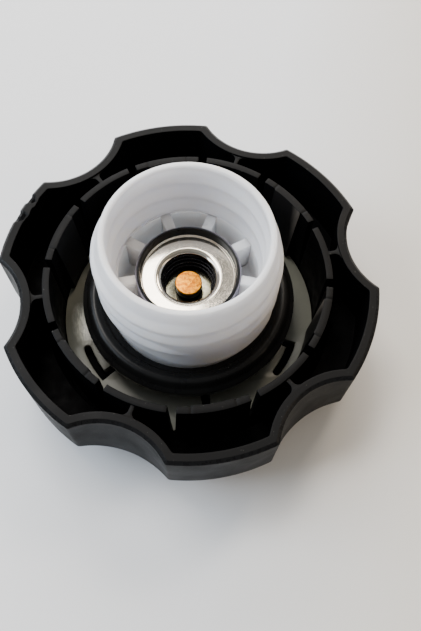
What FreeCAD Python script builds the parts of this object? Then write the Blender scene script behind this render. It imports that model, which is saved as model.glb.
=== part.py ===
import FreeCAD, Part
import Sketcher
import math
import os

# Fuel tank cap lying upside down on its crown, knob below and threaded cup above.
# Lengths are millimetres, angles degrees, and the thread axis is Z with the table at zero.

sizes = {
    # Knob: lobed skirt, crown and bowl
    "lobe_count": 6,
    "full_turn": 360,
    "skirt_radius": 55.7,
    "skirt_wall": 2.8,
    "skirt_foot": 11.6,
    "knob_height": 32.0,
    "scallop_arc_radius": 20.1,
    "scallop_arc_centre": 68.9,
    "rim_bevel": 0.8,
    "skirt_foot_bevel": 0.5,
    "trough_thickness": 2.2,
    "crown_radius": 47.0,
    "crown_foot_radius": 45.9,
    "crown_round": 3.0,
    "floor_thickness": 2.5,
    "bowl_radius": 44.5,
    # Ring wall inside the skirt, with its slits, hooks and stiffening ribs
    "ring_inner_radius": 40.3,
    "ring_wall": 2.0,
    "slit_angle": 15.8,
    "slit_top_width": 2.6,
    "slit_foot_width": 0.5,
    "slit_foot_height": 4.5,
    "slit_overrun": 0.5,
    "rib_thickness": 0.8,
    "rib_drop": 0.6,
    "rib_flare": 1.5,
    "rib_bite": 0.8,
    "hook_half_angle": 8.3,
    "hook_reach": 2.0,
    "hook_step": 0.35,
    "hook_land": 2.5,
    "hook_play": 0.5,
    "hook_bite": 0.6,
    # Ratchet teeth on the bowl floor
    "tooth_count": 36,
    "tooth_inner_radius": 29.3,
    "tooth_outer_radius": 33.8,
    "tooth_height": 1.2,
    "tooth_length": 4.6,
    "tooth_phase": -31.5,
    # Two chips in the rim of one lobe
    "chip_first_angle": 142.0,
    "chip_first_spread": 3.3,
    "chip_second_angle": 148.8,
    "chip_second_spread": 4.2,
    "chip_reach": 1.5,
    "chip_depth": 1.1,
    "chip_overrun": 1.0,
    # Ratchet plate
    "land_clearance": 0.3,
    "land_height": 1.7,
    "land_width": 2.4,
    "plate_clearance": 0.3,
    "plate_thickness": 2.0,
    "boss_height": 7.5,
    "boss_wall": 2.05,
    "arm_count": 3,
    "arm_tip_angle": -30.0,
    "arm_sweep": 17.5,
    "arm_inner_radius": 29.6,
    "arm_outer_radius": 33.5,
    "inner_slot_width": 2.0,
    "inner_slot_round": 1.05,
    "outer_slot_width": 2.4,
    "outer_slot_round": 1.25,
    "tip_cut_half_angle": 2.15,
    "plain_cut_angle": 30.0,
    "plain_cut_width": 2.7,
    "plain_cut_inner": 28.0,
    "plain_cut_outer": 35.9,
    "pawl_drop": 1.5,
    "pawl_length": 5.0,
    "pawl_margin": 0.3,
    # Threaded plug, measured from the underside of its flange
    "hub_radius": 25.0,
    "hub_clearance": 0.15,
    "hub_length": 9.0,
    "hub_wall": 2.5,
    "flange_radius": 31.5,
    "flange_thickness": 2.5,
    "cup_root_radius": 24.3,
    "cup_height": 39.2,
    "lip_outer_radius": 23.7,
    "lip_inner_radius": 22.4,
    "lip_bevel": 0.35,
    "lip_taper": 3.0,
    "wall_knee_radius": 20.5,
    "wall_knee_height": 19.0,
    "channel_floor": 8.0,
    "channel_radius": 20.4,
    "channel_underside": 5.8,
    "channel_under_radius": 17.2,
    "collar_inner_radius": 14.9,
    "collar_wall": 0.8,
    "collar_height": 19.8,
    "tube_floor": 4.0,
    "tube_underside": 1.5,
    "tube_port_radius": 8.0,
    "plug_rib_count": 9,
    "plug_rib_width": 3.4,
    "plug_rib_height": 19.1,
    "plug_rib_turn": 20.0,
    "plug_rib_bite": 0.4,
    "thread_pitch": 6.35,
    "thread_start": 21.95,
    "thread_rise": 13.0,
    "thread_half_foot": 2.4,
    "thread_half_flank": 1.35,
    "thread_half_crest": 0.5,
    "thread_flank_radius": 25.5,
    "thread_crest_radius": 26.6,
    "thread_bite": 0.3,
    # Neck gasket
    "gasket_clearance": 0.2,
    "gasket_outer_radius": 32.6,
    "gasket_edge_height": 2.0,
    "gasket_inner_height": 2.4,
    "bead_outer_radius": 31.2,
    "bead_inner_radius": 27.2,
    "bead_shoulder": 4.1,
    "bead_half_crest": 1.0,
    "bead_height": 5.4,
    # Valve housing, its seal ring and the pressed disc that closes it
    "press_clearance": 0.2,
    "housing_height": 10.9,
    "housing_floor": 2.0,
    "housing_bore_radius": 10.4,
    "housing_port_radius": 7.0,
    "seal_clearance": 0.1,
    "seal_inner_radius": 11.0,
    "seal_washer_thickness": 0.7,
    "seal_lip_wall": 0.6,
    "seal_lip_height": 4.5,
    "disc_hole_radius": 8.25,
    "disc_thickness": 0.6,
    "disc_hole_bevel": 0.3,
    "disc_bead_width": 0.45,
    "disc_bead_foot": 0.8,
    "disc_bead_height": 1.5,
    "disc_bead_bevel": 0.2,
    # Vacuum valve
    "vacuum_seal_radius": 9.8,
    "vacuum_seal_hole": 6.2,
    "vacuum_seal_thickness": 0.8,
    "vacuum_plate_radius": 10.0,
    "vacuum_plate_thickness": 1.5,
    "vacuum_plate_round": 0.4,
    "plate_pocket_depth": 0.9,
    "plate_pocket_clearance": 0.5,
    "flow_hole_count": 4,
    "flow_hole_radius": 0.8,
    "flow_hole_offset": 3.4,
    "vacuum_wire_radius": 0.45,
    "vacuum_coil_radius": 9.2,
    "vacuum_coil_turns": 3.5,
    "wire_sides": 6,
    # Pressure valve
    "stem_radius": 1.5,
    "stem_clearance": 0.3,
    "stem_rivet_radius": 2.3,
    "stem_rivet_height": 0.6,
    "poppet_radius": 5.4,
    "poppet_thickness": 1.0,
    "poppet_seal_thickness": 0.9,
    "poppet_fit": 0.05,
    "head_radius": 3.9,
    "head_skirt_height": 1.95,
    "head_skirt_wall": 0.6,
    "head_gap": 1.65,
    "head_thickness": 0.6,
    "copper_radius": 4.0,
    "copper_thickness": 0.7,
    "copper_chamfer": 0.15,
    "pressure_wire_radius": 0.25,
    "pressure_coil_radius": 2.4,
    "pressure_coil_turns": 3.0,
}

doc = FreeCAD.newDocument("fuel_tank_cap")
sheet = doc.addObject("Spreadsheet::Sheet", "dim")
for row, (name, number) in enumerate(sizes.items(), 1):
    sheet.set(f"A{row}", name)
    sheet.set(f"B{row}", str(number))
    sheet.setAlias(f"B{row}", name)
doc.recompute()

# Levels and radii that follow from the sizes and the clearances between mating pieces
trough_floor = "(dim.skirt_foot + dim.trough_thickness)"
ring_outer = "(dim.ring_inner_radius + dim.ring_wall)"
sector = "(dim.full_turn / dim.lobe_count)"
plate_foot = "(dim.floor_thickness + dim.land_clearance)"
plate_top = "(dim.land_height + dim.plate_thickness)"
boss_top = f"({plate_top} + dim.boss_height)"
plate_radius = "(dim.ring_inner_radius - dim.plate_clearance)"
boss_bore = "(dim.hub_radius + dim.hub_clearance)"
hook_underside = f"({plate_foot} + {plate_top} + dim.hook_play)"
flange_level = f"({plate_foot} + {boss_top})"
flange_top = f"({flange_level} + dim.flange_thickness)"
tube_floor_level = f"({flange_level} + dim.tube_floor)"
housing_top = f"({tube_floor_level} + dim.housing_height)"
disc_level = f"({housing_top} + dim.seal_washer_thickness)"
vacuum_seat = f"({tube_floor_level} + dim.housing_floor)"
vacuum_plate_level = f"({vacuum_seat} + dim.vacuum_seal_thickness)"
vacuum_plate_top = f"({vacuum_plate_level} + dim.vacuum_plate_thickness)"
poppet_seal_level = f"({vacuum_plate_level} - dim.poppet_seal_thickness)"
poppet_level = f"({poppet_seal_level} - dim.poppet_thickness)"
pocket_floor = f"({vacuum_plate_top} - dim.plate_pocket_depth)"
head_rise = f"({pocket_floor} - {poppet_level} + dim.head_gap)"
copper_level = f"({poppet_level} + {head_rise} + dim.head_skirt_height + dim.head_thickness)"


def amount(formula):
    """The present value of a formula, without its unit."""
    result = sheet.evalExpression(formula)
    return float(getattr(result, "Value", result))


def bind(item, path, formula):
    """Ties one property of an object to a formula over the sheet."""
    item.setExpression(path, formula)


def base_plane(body, role):
    """One of the body's own origin planes or axes."""
    for part in body.Origin.OriginFeatures:
        if part.Role == role:
            return part
    raise ValueError(role)


def new_body(label, level="0"):
    """An empty sub-part whose own zero stands at a level above the table."""
    body = doc.addObject("PartDesign::Body", label)
    body.Label = label
    if level != "0":
        bind(body, "Placement.Base.z", level)
    return body


def level_sketch(body, name, lift="0", turn="0"):
    """A sketch lying flat, lifted along the axis and turned about it."""
    sketch = body.newObject("Sketcher::SketchObject", name)
    sketch.AttachmentSupport = (base_plane(body, "XY_Plane"), [""])
    sketch.MapMode = "FlatFace"
    turning = FreeCAD.Rotation(FreeCAD.Vector(0, 0, 1), amount(turn))
    sketch.AttachmentOffset = FreeCAD.Placement(FreeCAD.Vector(0, 0, amount(lift)), turning)
    if lift != "0":
        bind(sketch, "AttachmentOffset.Base.z", lift)
    if turn != "0":
        bind(sketch, "AttachmentOffset.Rotation.Angle", turn)
    return sketch


def section_sketch(body, name, turn="0"):
    """A sketch in a plane through the axis, with radius across and height up."""
    sketch = body.newObject("Sketcher::SketchObject", name)
    sketch.AttachmentSupport = (base_plane(body, "XZ_Plane"), [""])
    sketch.MapMode = "FlatFace"
    if turn != "0":
        turning = FreeCAD.Rotation(FreeCAD.Vector(0, 1, 0), amount(turn))
        sketch.AttachmentOffset = FreeCAD.Placement(FreeCAD.Vector(0, 0, 0), turning)
        bind(sketch, "AttachmentOffset.Rotation.Angle", turn)
    return sketch


def facing_sketch(body, name, turn, reach="0"):
    """An upright sketch facing outward in the direction turn, at a distance from the axis."""
    sketch = body.newObject("Sketcher::SketchObject", name)
    sketch.AttachmentSupport = (base_plane(body, "YZ_Plane"), [""])
    sketch.MapMode = "FlatFace"
    turning = FreeCAD.Rotation(FreeCAD.Vector(0, 1, 0), amount(turn))
    sketch.AttachmentOffset = FreeCAD.Placement(FreeCAD.Vector(0, 0, 0), turning)
    bind(sketch, "AttachmentOffset.Rotation.Angle", turn)
    if reach != "0":
        bind(sketch, "AttachmentOffset.Base.x", f"{reach} * sin({turn})")
        bind(sketch, "AttachmentOffset.Base.z", f"{reach} * cos({turn})")
    return sketch


def arc_between(start, finish, radius, leftward):
    """Short arc between two points that bulges to one side of the way from start to finish."""
    chord = finish - start
    half = chord.Length / 2
    middle = (start + finish) * 0.5
    side = FreeCAD.Vector(-chord.y, chord.x, 0).normalize()
    if leftward:
        side = side * -1
    centre = middle + side * math.sqrt(max(radius * radius - half * half, 0))
    circle = Part.Circle(centre, FreeCAD.Vector(0, 0, 1), radius)
    first = math.atan2(start.y - centre.y, start.x - centre.x)
    last = math.atan2(finish.y - centre.y, finish.x - centre.x)
    if leftward:
        return Part.ArcOfCircle(circle, last, first)
    return Part.ArcOfCircle(circle, first, last)


def tie_point(sketch, side, end, formulas):
    """Fixes one end of a side at two formulas measured from the sketch origin."""
    for kind, axis, formula in zip(("DistanceX", "DistanceY"), (-2, -1), formulas):
        if formula == "0":
            sketch.addConstraint(Sketcher.Constraint("PointOnObject", side, end, axis))
            continue
        made = Sketcher.Constraint(kind, -1, 1, side, end, amount(formula))
        index = sketch.addConstraint(made)
        bind(sketch, f"Constraints[{index}]", formula)


def draw(sketch, corners, bows=None):
    """Closes an outline through the corners; a bow turns the side after a corner into an arc."""
    bows = bows or {}
    points = [FreeCAD.Vector(amount(across), amount(up), 0) for across, up in corners]
    ends = []
    for side, start in enumerate(points):
        finish = points[(side + 1) % len(points)]
        if side in bows:
            radius, leftward = bows[side]
            sketch.addGeometry(arc_between(start, finish, amount(radius), leftward), False)
            ends.append((2, 1) if leftward else (1, 2))
        else:
            sketch.addGeometry(Part.LineSegment(start, finish), False)
            ends.append((1, 2))
    for side in range(len(points)):
        after = (side + 1) % len(points)
        meeting = Sketcher.Constraint("Coincident", side, ends[side][1], after, ends[after][0])
        sketch.addConstraint(meeting)
    for side, formulas in enumerate(corners):
        tie_point(sketch, side, ends[side][0], formulas)
    for side, (radius, leftward) in bows.items():
        index = sketch.addConstraint(Sketcher.Constraint("Radius", side, amount(radius)))
        bind(sketch, f"Constraints[{index}]", radius)
    return sketch


def draw_circle(sketch, radius, across="0", up="0"):
    """Adds one full circle whose centre is fixed by two formulas."""
    centre = FreeCAD.Vector(amount(across), amount(up), 0)
    circle = Part.Circle(centre, FreeCAD.Vector(0, 0, 1), amount(radius))
    side = sketch.addGeometry(circle, False)
    tie_point(sketch, side, 3, (across, up))
    index = sketch.addConstraint(Sketcher.Constraint("Radius", side, amount(radius)))
    bind(sketch, f"Constraints[{index}]", radius)
    return sketch


def polar(radius, angle):
    """The two formulas of a point given by radius and angle."""
    return (f"{radius} * cos({angle})", f"{radius} * sin({angle})")


def extrude(body, kind, name, sketch, length, forward=True):
    """Pads or pockets a sketch over a length."""
    made = body.newObject("PartDesign::" + kind, name)
    made.Profile = sketch
    made.Reversed = not forward
    bind(made, "Length", length)
    return made


def turn_profile(body, kind, name, sketch, angle="dim.full_turn", centred=False):
    """Turns a section about the axis, all the way or over a centred angle."""
    made = body.newObject("PartDesign::" + kind, name)
    made.Profile = sketch
    made.ReferenceAxis = (sketch, ["V_Axis"])
    made.Midplane = centred
    bind(made, "Angle", angle)
    return made


def wind(body, name, sketch, pitch, rise):
    """Sweeps a section up a right-hand helix about the axis."""
    made = body.newObject("PartDesign::AdditiveHelix", name)
    made.Profile = sketch
    made.ReferenceAxis = (sketch, ["V_Axis"])
    made.Mode = 0
    bind(made, "Pitch", pitch)
    bind(made, "Height", rise)
    return made


def repeat(body, name, features, count):
    """Repeats features evenly round the axis."""
    body.Tip = features[-1]
    made = body.newObject("PartDesign::PolarPattern", name)
    made.Originals = features
    made.Axis = (base_plane(body, "Z_Axis"), [""])
    bind(made, "Angle", "dim.full_turn")
    bind(made, "Occurrences", count)
    body.Tip = made
    doc.recompute()
    return made


def soften(body, kind, name, wanted, amount_name, formula):
    """Rounds or chamfers the edges of the tip that a test picks out."""
    doc.recompute()
    tip = body.Tip
    picked = [f"Edge{n + 1}" for n, edge in enumerate(tip.Shape.Edges) if wanted(edge)]
    made = body.newObject("PartDesign::" + kind, name)
    made.Base = (tip, picked)
    bind(made, amount_name, formula)
    doc.recompute()
    return made


def at_height(formula, least_radius="0"):
    """A test for edges that lie level at one height, outside a radius."""
    height = amount(formula)
    least = amount(least_radius)

    def wanted(edge):
        box = edge.BoundBox
        level = abs(box.ZMin - height) < 1e-4 and abs(box.ZMax - height) < 1e-4
        middle = edge.valueAt((edge.FirstParameter + edge.LastParameter) / 2)
        return level and math.hypot(middle.x, middle.y) >= least

    return wanted


def lobed_outline(body, name, lift, inset):
    """The knob's outline of lobes and hollow scallops, moved inward by an inset."""
    sketch = level_sketch(body, name, lift)
    count = round(amount("dim.lobe_count"))
    step = amount(sector)
    outer = amount(f"dim.skirt_radius - {inset}")
    hollow = amount(f"dim.scallop_arc_radius + {inset}")
    centre = amount("dim.scallop_arc_centre")
    cosine = (outer * outer + centre * centre - hollow * hollow) / (2 * outer * centre)
    half = math.degrees(math.acos(cosine))
    up = FreeCAD.Vector(0, 0, 1)
    for number in range(count):
        middle = step * number
        first = math.radians(middle + half)
        last = math.radians(middle + step - half)
        lobe = Part.Circle(FreeCAD.Vector(0, 0, 0), up, outer)
        sketch.addGeometry(Part.ArcOfCircle(lobe, first, last), False)
        place = FreeCAD.Vector(centre, 0, 0)
        start = FreeCAD.Vector(outer * cosine, -outer * math.sin(math.radians(half)), 0) - place
        spread = math.atan2(start.y, start.x)
        scallop = Part.Circle(FreeCAD.Rotation(up, middle).multVec(place), up, hollow)
        swing = math.radians(middle)
        sketch.addGeometry(Part.ArcOfCircle(scallop, swing - spread, swing + spread), False)
    for number in range(count):
        lobe = 2 * number
        scallop = lobe + 1
        following = (lobe + 3) % (2 * count)
        sketch.addConstraint(Sketcher.Constraint("Coincident", scallop, 1, lobe, 1))
        sketch.addConstraint(Sketcher.Constraint("Coincident", lobe, 2, following, 2))
        sketch.addConstraint(Sketcher.Constraint("Coincident", lobe, 3, -1, 1))
        angle = f"({sector} * {number})"
        tie_point(sketch, scallop, 3, polar("dim.scallop_arc_centre", angle))
        for side, radius in ((lobe, f"dim.skirt_radius - {inset}"), (scallop, f"dim.scallop_arc_radius + {inset}")):
            index = sketch.addConstraint(Sketcher.Constraint("Radius", side, amount(radius)))
            bind(sketch, f"Constraints[{index}]", radius)
    return sketch


# Knob, one moulding: skirt, crown, ring wall, ribs, hooks and ratchet teeth
knob = new_body("grip_cover")
outline = lobed_outline(knob, "skirt_outline", "dim.skirt_foot", "0")
extrude(knob, "Pad", "skirt_block", outline, "dim.knob_height - dim.skirt_foot")
soften(knob, "Chamfer", "rim_edge", at_height("dim.knob_height"), "Size", "dim.rim_bevel")
soften(knob, "Chamfer", "skirt_foot_edge", at_height("dim.skirt_foot"), "Size", "dim.skirt_foot_bevel")

crown = draw(
    section_sketch(knob, "crown_section"),
    [
        ("0", "0"),
        ("dim.crown_foot_radius", "0"),
        ("dim.crown_radius", "dim.skirt_foot"),
        ("dim.crown_radius", trough_floor),
        ("0", trough_floor),
    ],
)
turn_profile(knob, "Revolution", "crown", crown)
soften(knob, "Fillet", "crown_edge", at_height("0"), "Radius", "dim.crown_round")

trough = lobed_outline(knob, "trough_outline", "dim.knob_height", "dim.skirt_wall")
extrude(knob, "Pocket", "trough", trough, f"dim.knob_height - {trough_floor}")
bowl = draw_circle(level_sketch(knob, "bowl_circle", trough_floor), "dim.bowl_radius")
extrude(knob, "Pocket", "bowl", bowl, f"{trough_floor} - dim.floor_thickness")

wall = level_sketch(knob, "ring_wall_circles", "dim.floor_thickness")
draw_circle(wall, "dim.ring_inner_radius")
draw_circle(wall, ring_outer)
extrude(knob, "Pad", "ring_wall", wall, "dim.knob_height - dim.floor_thickness")

# A rib stands at the middle of each scallop and flares where it meets the skirt
rib_foot = "(dim.ring_inner_radius + dim.ring_wall / 2)"
rib_meet = "(dim.scallop_arc_centre - dim.scallop_arc_radius - dim.skirt_wall)"
rib_half = "(dim.rib_thickness / 2)"
rib = draw(
    level_sketch(knob, "rib_outline", "dim.floor_thickness"),
    [
        (rib_foot, f"-{rib_half}"),
        (f"{rib_meet} - dim.rib_flare", f"-{rib_half}"),
        (rib_meet, f"-{rib_half} - dim.rib_flare"),
        (f"{rib_meet} + dim.rib_bite", f"-{rib_half} - dim.rib_flare"),
        (f"{rib_meet} + dim.rib_bite", f"{rib_half} + dim.rib_flare"),
        (rib_meet, f"{rib_half} + dim.rib_flare"),
        (f"{rib_meet} - dim.rib_flare", rib_half),
        (rib_foot, rib_half),
    ],
    {1: ("dim.rib_flare", True), 5: ("dim.rib_flare", True)},
)
rib_pad = extrude(knob, "Pad", "rib", rib, "dim.knob_height - dim.floor_thickness - dim.rib_drop")
repeat(knob, "ribs", [rib_pad], "dim.lobe_count")

# Hooks lean inward from the ring wall and hold the ratchet plate down
hook_section = draw(
    section_sketch(knob, "hook_section", f"{sector} / 2"),
    [
        ("dim.ring_inner_radius + dim.hook_bite", "dim.knob_height"),
        ("dim.ring_inner_radius - dim.hook_step", "dim.knob_height"),
        ("dim.ring_inner_radius - dim.hook_reach", f"{hook_underside} + dim.hook_land"),
        ("dim.ring_inner_radius - dim.hook_reach", hook_underside),
        ("dim.ring_inner_radius + dim.hook_bite", hook_underside),
    ],
)
hook = turn_profile(knob, "Revolution", "hook", hook_section, "2 * dim.hook_half_angle", True)
repeat(knob, "hooks", [hook], "dim.lobe_count")

# Tapered slits on both sides of each hook let it bend
slits = []
for name, way in (("near_slit", "-"), ("far_slit", "+")):
    slit = draw(
        facing_sketch(knob, name + "_outline", f"({sector} / 2 {way} dim.slit_angle)"),
        [
            ("-dim.slit_foot_width / 2", "dim.slit_foot_height"),
            ("dim.slit_foot_width / 2", "dim.slit_foot_height"),
            ("dim.slit_top_width / 2", "dim.knob_height"),
            ("-dim.slit_top_width / 2", "dim.knob_height"),
        ],
    )
    slits.append(extrude(knob, "Pocket", name, slit, f"{ring_outer} + dim.slit_overrun", False))
repeat(knob, "slits", slits, "dim.lobe_count")

# Saw teeth that a pawl climbs one way and stops against the other way
tooth = draw(
    facing_sketch(knob, "tooth_outline", "dim.tooth_phase", "dim.tooth_inner_radius"),
    [
        ("0", "dim.floor_thickness"),
        ("dim.tooth_length", "dim.floor_thickness"),
        ("0", "dim.floor_thickness + dim.tooth_height"),
    ],
)
tooth_pad = extrude(knob, "Pad", "tooth", tooth, "dim.tooth_outer_radius - dim.tooth_inner_radius")
repeat(knob, "teeth", [tooth_pad], "dim.tooth_count")

for name in ("chip_first", "chip_second"):
    angle = f"dim.{name}_angle"
    spread = f"dim.{name}_spread"
    chip = draw(
        level_sketch(knob, name + "_outline", "dim.knob_height"),
        [
            polar("(dim.skirt_radius + dim.chip_overrun)", f"({angle} - {spread} / 2)"),
            polar("(dim.skirt_radius + dim.chip_overrun)", f"({angle} + {spread} / 2)"),
            polar("(dim.skirt_radius - dim.chip_reach)", angle),
        ],
    )
    extrude(knob, "Pocket", name, chip, "dim.chip_depth")

# Ratchet plate with three spring arms, resting on its edge land
plate = new_body("ratchet_plate", plate_foot)
plate_section = draw(
    section_sketch(plate, "plate_section"),
    [
        (boss_bore, "dim.land_height"),
        (f"{plate_radius} - dim.land_width", "dim.land_height"),
        (f"{plate_radius} - dim.land_width", "0"),
        (plate_radius, "0"),
        (plate_radius, plate_top),
        (f"{boss_bore} + dim.boss_wall", plate_top),
        (f"{boss_bore} + dim.boss_wall", boss_top),
        (boss_bore, boss_top),
    ],
)
turn_profile(plate, "Revolution", "plate_disc", plate_section)

arm_root = "(dim.arm_tip_angle - dim.arm_sweep)"
arm_tip = "(dim.arm_tip_angle - dim.tip_cut_half_angle)"
cut_end = "(dim.arm_tip_angle + dim.tip_cut_half_angle)"
slot_in = "(dim.arm_inner_radius - dim.inner_slot_width)"
slot_out = "(dim.arm_outer_radius + dim.outer_slot_width)"
arm_slot = draw(
    level_sketch(plate, "arm_slot_outline", plate_top),
    [
        polar("dim.arm_outer_radius", arm_root),
        polar("dim.arm_outer_radius", arm_tip),
        polar("dim.arm_inner_radius", arm_tip),
        polar("dim.arm_inner_radius", arm_root),
        polar(slot_in, arm_root),
        polar(slot_in, cut_end),
        polar(slot_out, cut_end),
        polar(slot_out, arm_root),
    ],
    {
        0: ("dim.arm_outer_radius", False),
        2: ("dim.arm_inner_radius", True),
        3: ("dim.inner_slot_round", False),
        4: (slot_in, False),
        6: (slot_out, True),
        7: ("dim.outer_slot_round", False),
    },
)
arm_cut = extrude(plate, "Pocket", "arm_slot", arm_slot, "dim.plate_thickness")
plain = draw(
    level_sketch(plate, "plain_cut_outline", plate_top, "dim.plain_cut_angle"),
    [
        ("dim.plain_cut_inner", "-dim.plain_cut_width / 2"),
        ("dim.plain_cut_outer", "-dim.plain_cut_width / 2"),
        ("dim.plain_cut_outer", "dim.plain_cut_width / 2"),
        ("dim.plain_cut_inner", "dim.plain_cut_width / 2"),
    ],
)
plain_cut = extrude(plate, "Pocket", "plain_cut", plain, "dim.plate_thickness")
repeat(plate, "cuts", [arm_cut, plain_cut], "dim.arm_count")
pawl_outline = draw(
    facing_sketch(plate, "pawl_outline", arm_tip, "(dim.arm_inner_radius + dim.pawl_margin)"),
    [
        ("-dim.pawl_length", "dim.land_height"),
        ("0", "dim.land_height - dim.pawl_drop"),
        ("0", "dim.land_height"),
    ],
)
pawl_width = "dim.arm_outer_radius - dim.arm_inner_radius - 2 * dim.pawl_margin"
pawl = extrude(plate, "Pad", "pawl", pawl_outline, pawl_width)
repeat(plate, "pawls", [pawl], "dim.arm_count")

# Threaded plug: hub, flange, cup with a valve collar, ribs and a coarse rounded thread
plug = new_body("threaded_plug", flange_level)
collar_outer = "(dim.collar_inner_radius + dim.collar_wall)"
plug_section = draw(
    section_sketch(plug, "plug_section"),
    [
        ("dim.hub_radius", "-dim.hub_length"),
        ("dim.hub_radius", "0"),
        ("dim.flange_radius", "0"),
        ("dim.flange_radius", "dim.flange_thickness"),
        ("dim.cup_root_radius", "dim.flange_thickness"),
        ("dim.cup_root_radius", "dim.cup_height - dim.lip_taper"),
        ("dim.lip_outer_radius", "dim.cup_height - dim.lip_bevel"),
        ("dim.lip_outer_radius - dim.lip_bevel", "dim.cup_height"),
        ("dim.lip_inner_radius + dim.lip_bevel", "dim.cup_height"),
        ("dim.lip_inner_radius", "dim.cup_height - dim.lip_bevel"),
        ("dim.wall_knee_radius", "dim.wall_knee_height"),
        ("dim.channel_radius", "dim.channel_floor"),
        (collar_outer, "dim.channel_floor"),
        (collar_outer, "dim.collar_height"),
        ("dim.collar_inner_radius", "dim.collar_height"),
        ("dim.collar_inner_radius", "dim.tube_floor"),
        ("dim.tube_port_radius", "dim.tube_floor"),
        ("dim.tube_port_radius", "dim.tube_underside"),
        ("dim.channel_under_radius", "dim.tube_underside"),
        ("dim.channel_under_radius", "dim.channel_underside"),
        ("dim.hub_radius - dim.hub_wall", "dim.channel_underside"),
        ("dim.hub_radius - dim.hub_wall", "-dim.hub_length"),
    ],
)
turn_profile(plug, "Revolution", "plug_wall", plug_section)
ridge = draw(
    level_sketch(plug, "plug_rib_outline", "dim.channel_floor", "dim.plug_rib_turn"),
    [
        (f"{collar_outer} - dim.plug_rib_bite", "-dim.plug_rib_width / 2"),
        ("dim.wall_knee_radius + dim.plug_rib_bite", "-dim.plug_rib_width / 2"),
        ("dim.wall_knee_radius + dim.plug_rib_bite", "dim.plug_rib_width / 2"),
        (f"{collar_outer} - dim.plug_rib_bite", "dim.plug_rib_width / 2"),
    ],
)
ridge_pad = extrude(plug, "Pad", "plug_rib", ridge, "dim.plug_rib_height - dim.channel_floor")
repeat(plug, "plug_ribs", [ridge_pad], "dim.plug_rib_count")
thread_section = draw(
    section_sketch(plug, "thread_section"),
    [
        ("dim.cup_root_radius - dim.thread_bite", "dim.thread_start - dim.thread_half_foot"),
        ("dim.thread_flank_radius", "dim.thread_start - dim.thread_half_flank"),
        ("dim.thread_crest_radius", "dim.thread_start - dim.thread_half_crest"),
        ("dim.thread_crest_radius", "dim.thread_start + dim.thread_half_crest"),
        ("dim.thread_flank_radius", "dim.thread_start + dim.thread_half_flank"),
        ("dim.cup_root_radius - dim.thread_bite", "dim.thread_start + dim.thread_half_foot"),
    ],
)
wind(plug, "thread", thread_section, "dim.thread_pitch", "dim.thread_rise")


def turned_part(label, level, corners, bows=None):
    """A sub-part that is one section turned about the axis."""
    body = new_body(label, level)
    section = draw(section_sketch(body, label + "_section"), corners, bows)
    turn_profile(body, "Revolution", label + "_turned", section)
    return body


def coil(label, level, wire, radius, space, turns):
    """An open coil spring that fills a space between two flat seats."""
    body = new_body(label, level)
    sides = round(amount("dim.wire_sides"))
    around = [f"((2 * {number} + 1) * dim.full_turn / 2 / dim.wire_sides)" for number in range(sides)]
    corners = [(f"{radius} + {wire} * cos({turn})", f"{wire} + {wire} * sin({turn})") for turn in around]
    ring = draw(section_sketch(body, label + "_wire"), corners)
    pitch = f"({space} - 2 * {wire}) / {turns}"
    wind(body, label + "_coil", ring, pitch, f"{space} - 2 * {wire}")
    return body


gasket_inner = "(dim.cup_root_radius + dim.gasket_clearance)"
bead_middle = "((dim.bead_outer_radius + dim.bead_inner_radius) / 2)"
turned_part(
    "neck_gasket",
    flange_top,
    [
        (gasket_inner, "0"),
        ("dim.gasket_outer_radius", "0"),
        ("dim.gasket_outer_radius", "dim.gasket_edge_height"),
        ("dim.bead_outer_radius", "dim.bead_shoulder"),
        (f"{bead_middle} + dim.bead_half_crest", "dim.bead_height"),
        (f"{bead_middle} - dim.bead_half_crest", "dim.bead_height"),
        ("dim.bead_inner_radius", "dim.bead_shoulder"),
        (gasket_inner, "dim.gasket_inner_height"),
    ],
)

housing_outer = "(dim.collar_inner_radius - dim.press_clearance)"
turned_part(
    "valve_housing",
    tube_floor_level,
    [
        ("dim.housing_port_radius", "0"),
        (housing_outer, "0"),
        (housing_outer, "dim.housing_height"),
        ("dim.housing_bore_radius", "dim.housing_height"),
        ("dim.housing_bore_radius", "dim.housing_floor"),
        ("dim.housing_port_radius", "dim.housing_floor"),
    ],
)

seal_outer = "(dim.collar_inner_radius - dim.seal_clearance)"
turned_part(
    "valve_seal",
    housing_top,
    [
        ("dim.seal_inner_radius", "0"),
        (seal_outer, "0"),
        (seal_outer, "dim.seal_lip_height"),
        (f"{seal_outer} - dim.seal_lip_wall", "dim.seal_lip_height"),
        (f"{seal_outer} - dim.seal_lip_wall", "dim.seal_washer_thickness"),
        ("dim.seal_inner_radius", "dim.seal_washer_thickness"),
    ],
)

disc_outer = f"({seal_outer} - dim.seal_lip_wall - dim.seal_clearance)"
turned_part(
    "spring_retainer",
    disc_level,
    [
        ("dim.disc_hole_radius", "0"),
        (disc_outer, "0"),
        (disc_outer, "dim.disc_bead_height - dim.disc_bead_bevel"),
        (f"{disc_outer} - dim.disc_bead_bevel", "dim.disc_bead_height"),
        (f"{disc_outer} - dim.disc_bead_width", "dim.disc_bead_height"),
        (f"{disc_outer} - dim.disc_bead_foot", "dim.disc_thickness"),
        ("dim.disc_hole_radius + dim.disc_hole_bevel", "dim.disc_thickness"),
        ("dim.disc_hole_radius", "dim.disc_thickness - dim.disc_hole_bevel"),
    ],
)

coil(
    "vacuum_spring",
    vacuum_plate_top,
    "dim.vacuum_wire_radius",
    "dim.vacuum_coil_radius",
    f"({disc_level} - {vacuum_plate_top})",
    "dim.vacuum_coil_turns",
)

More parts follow.
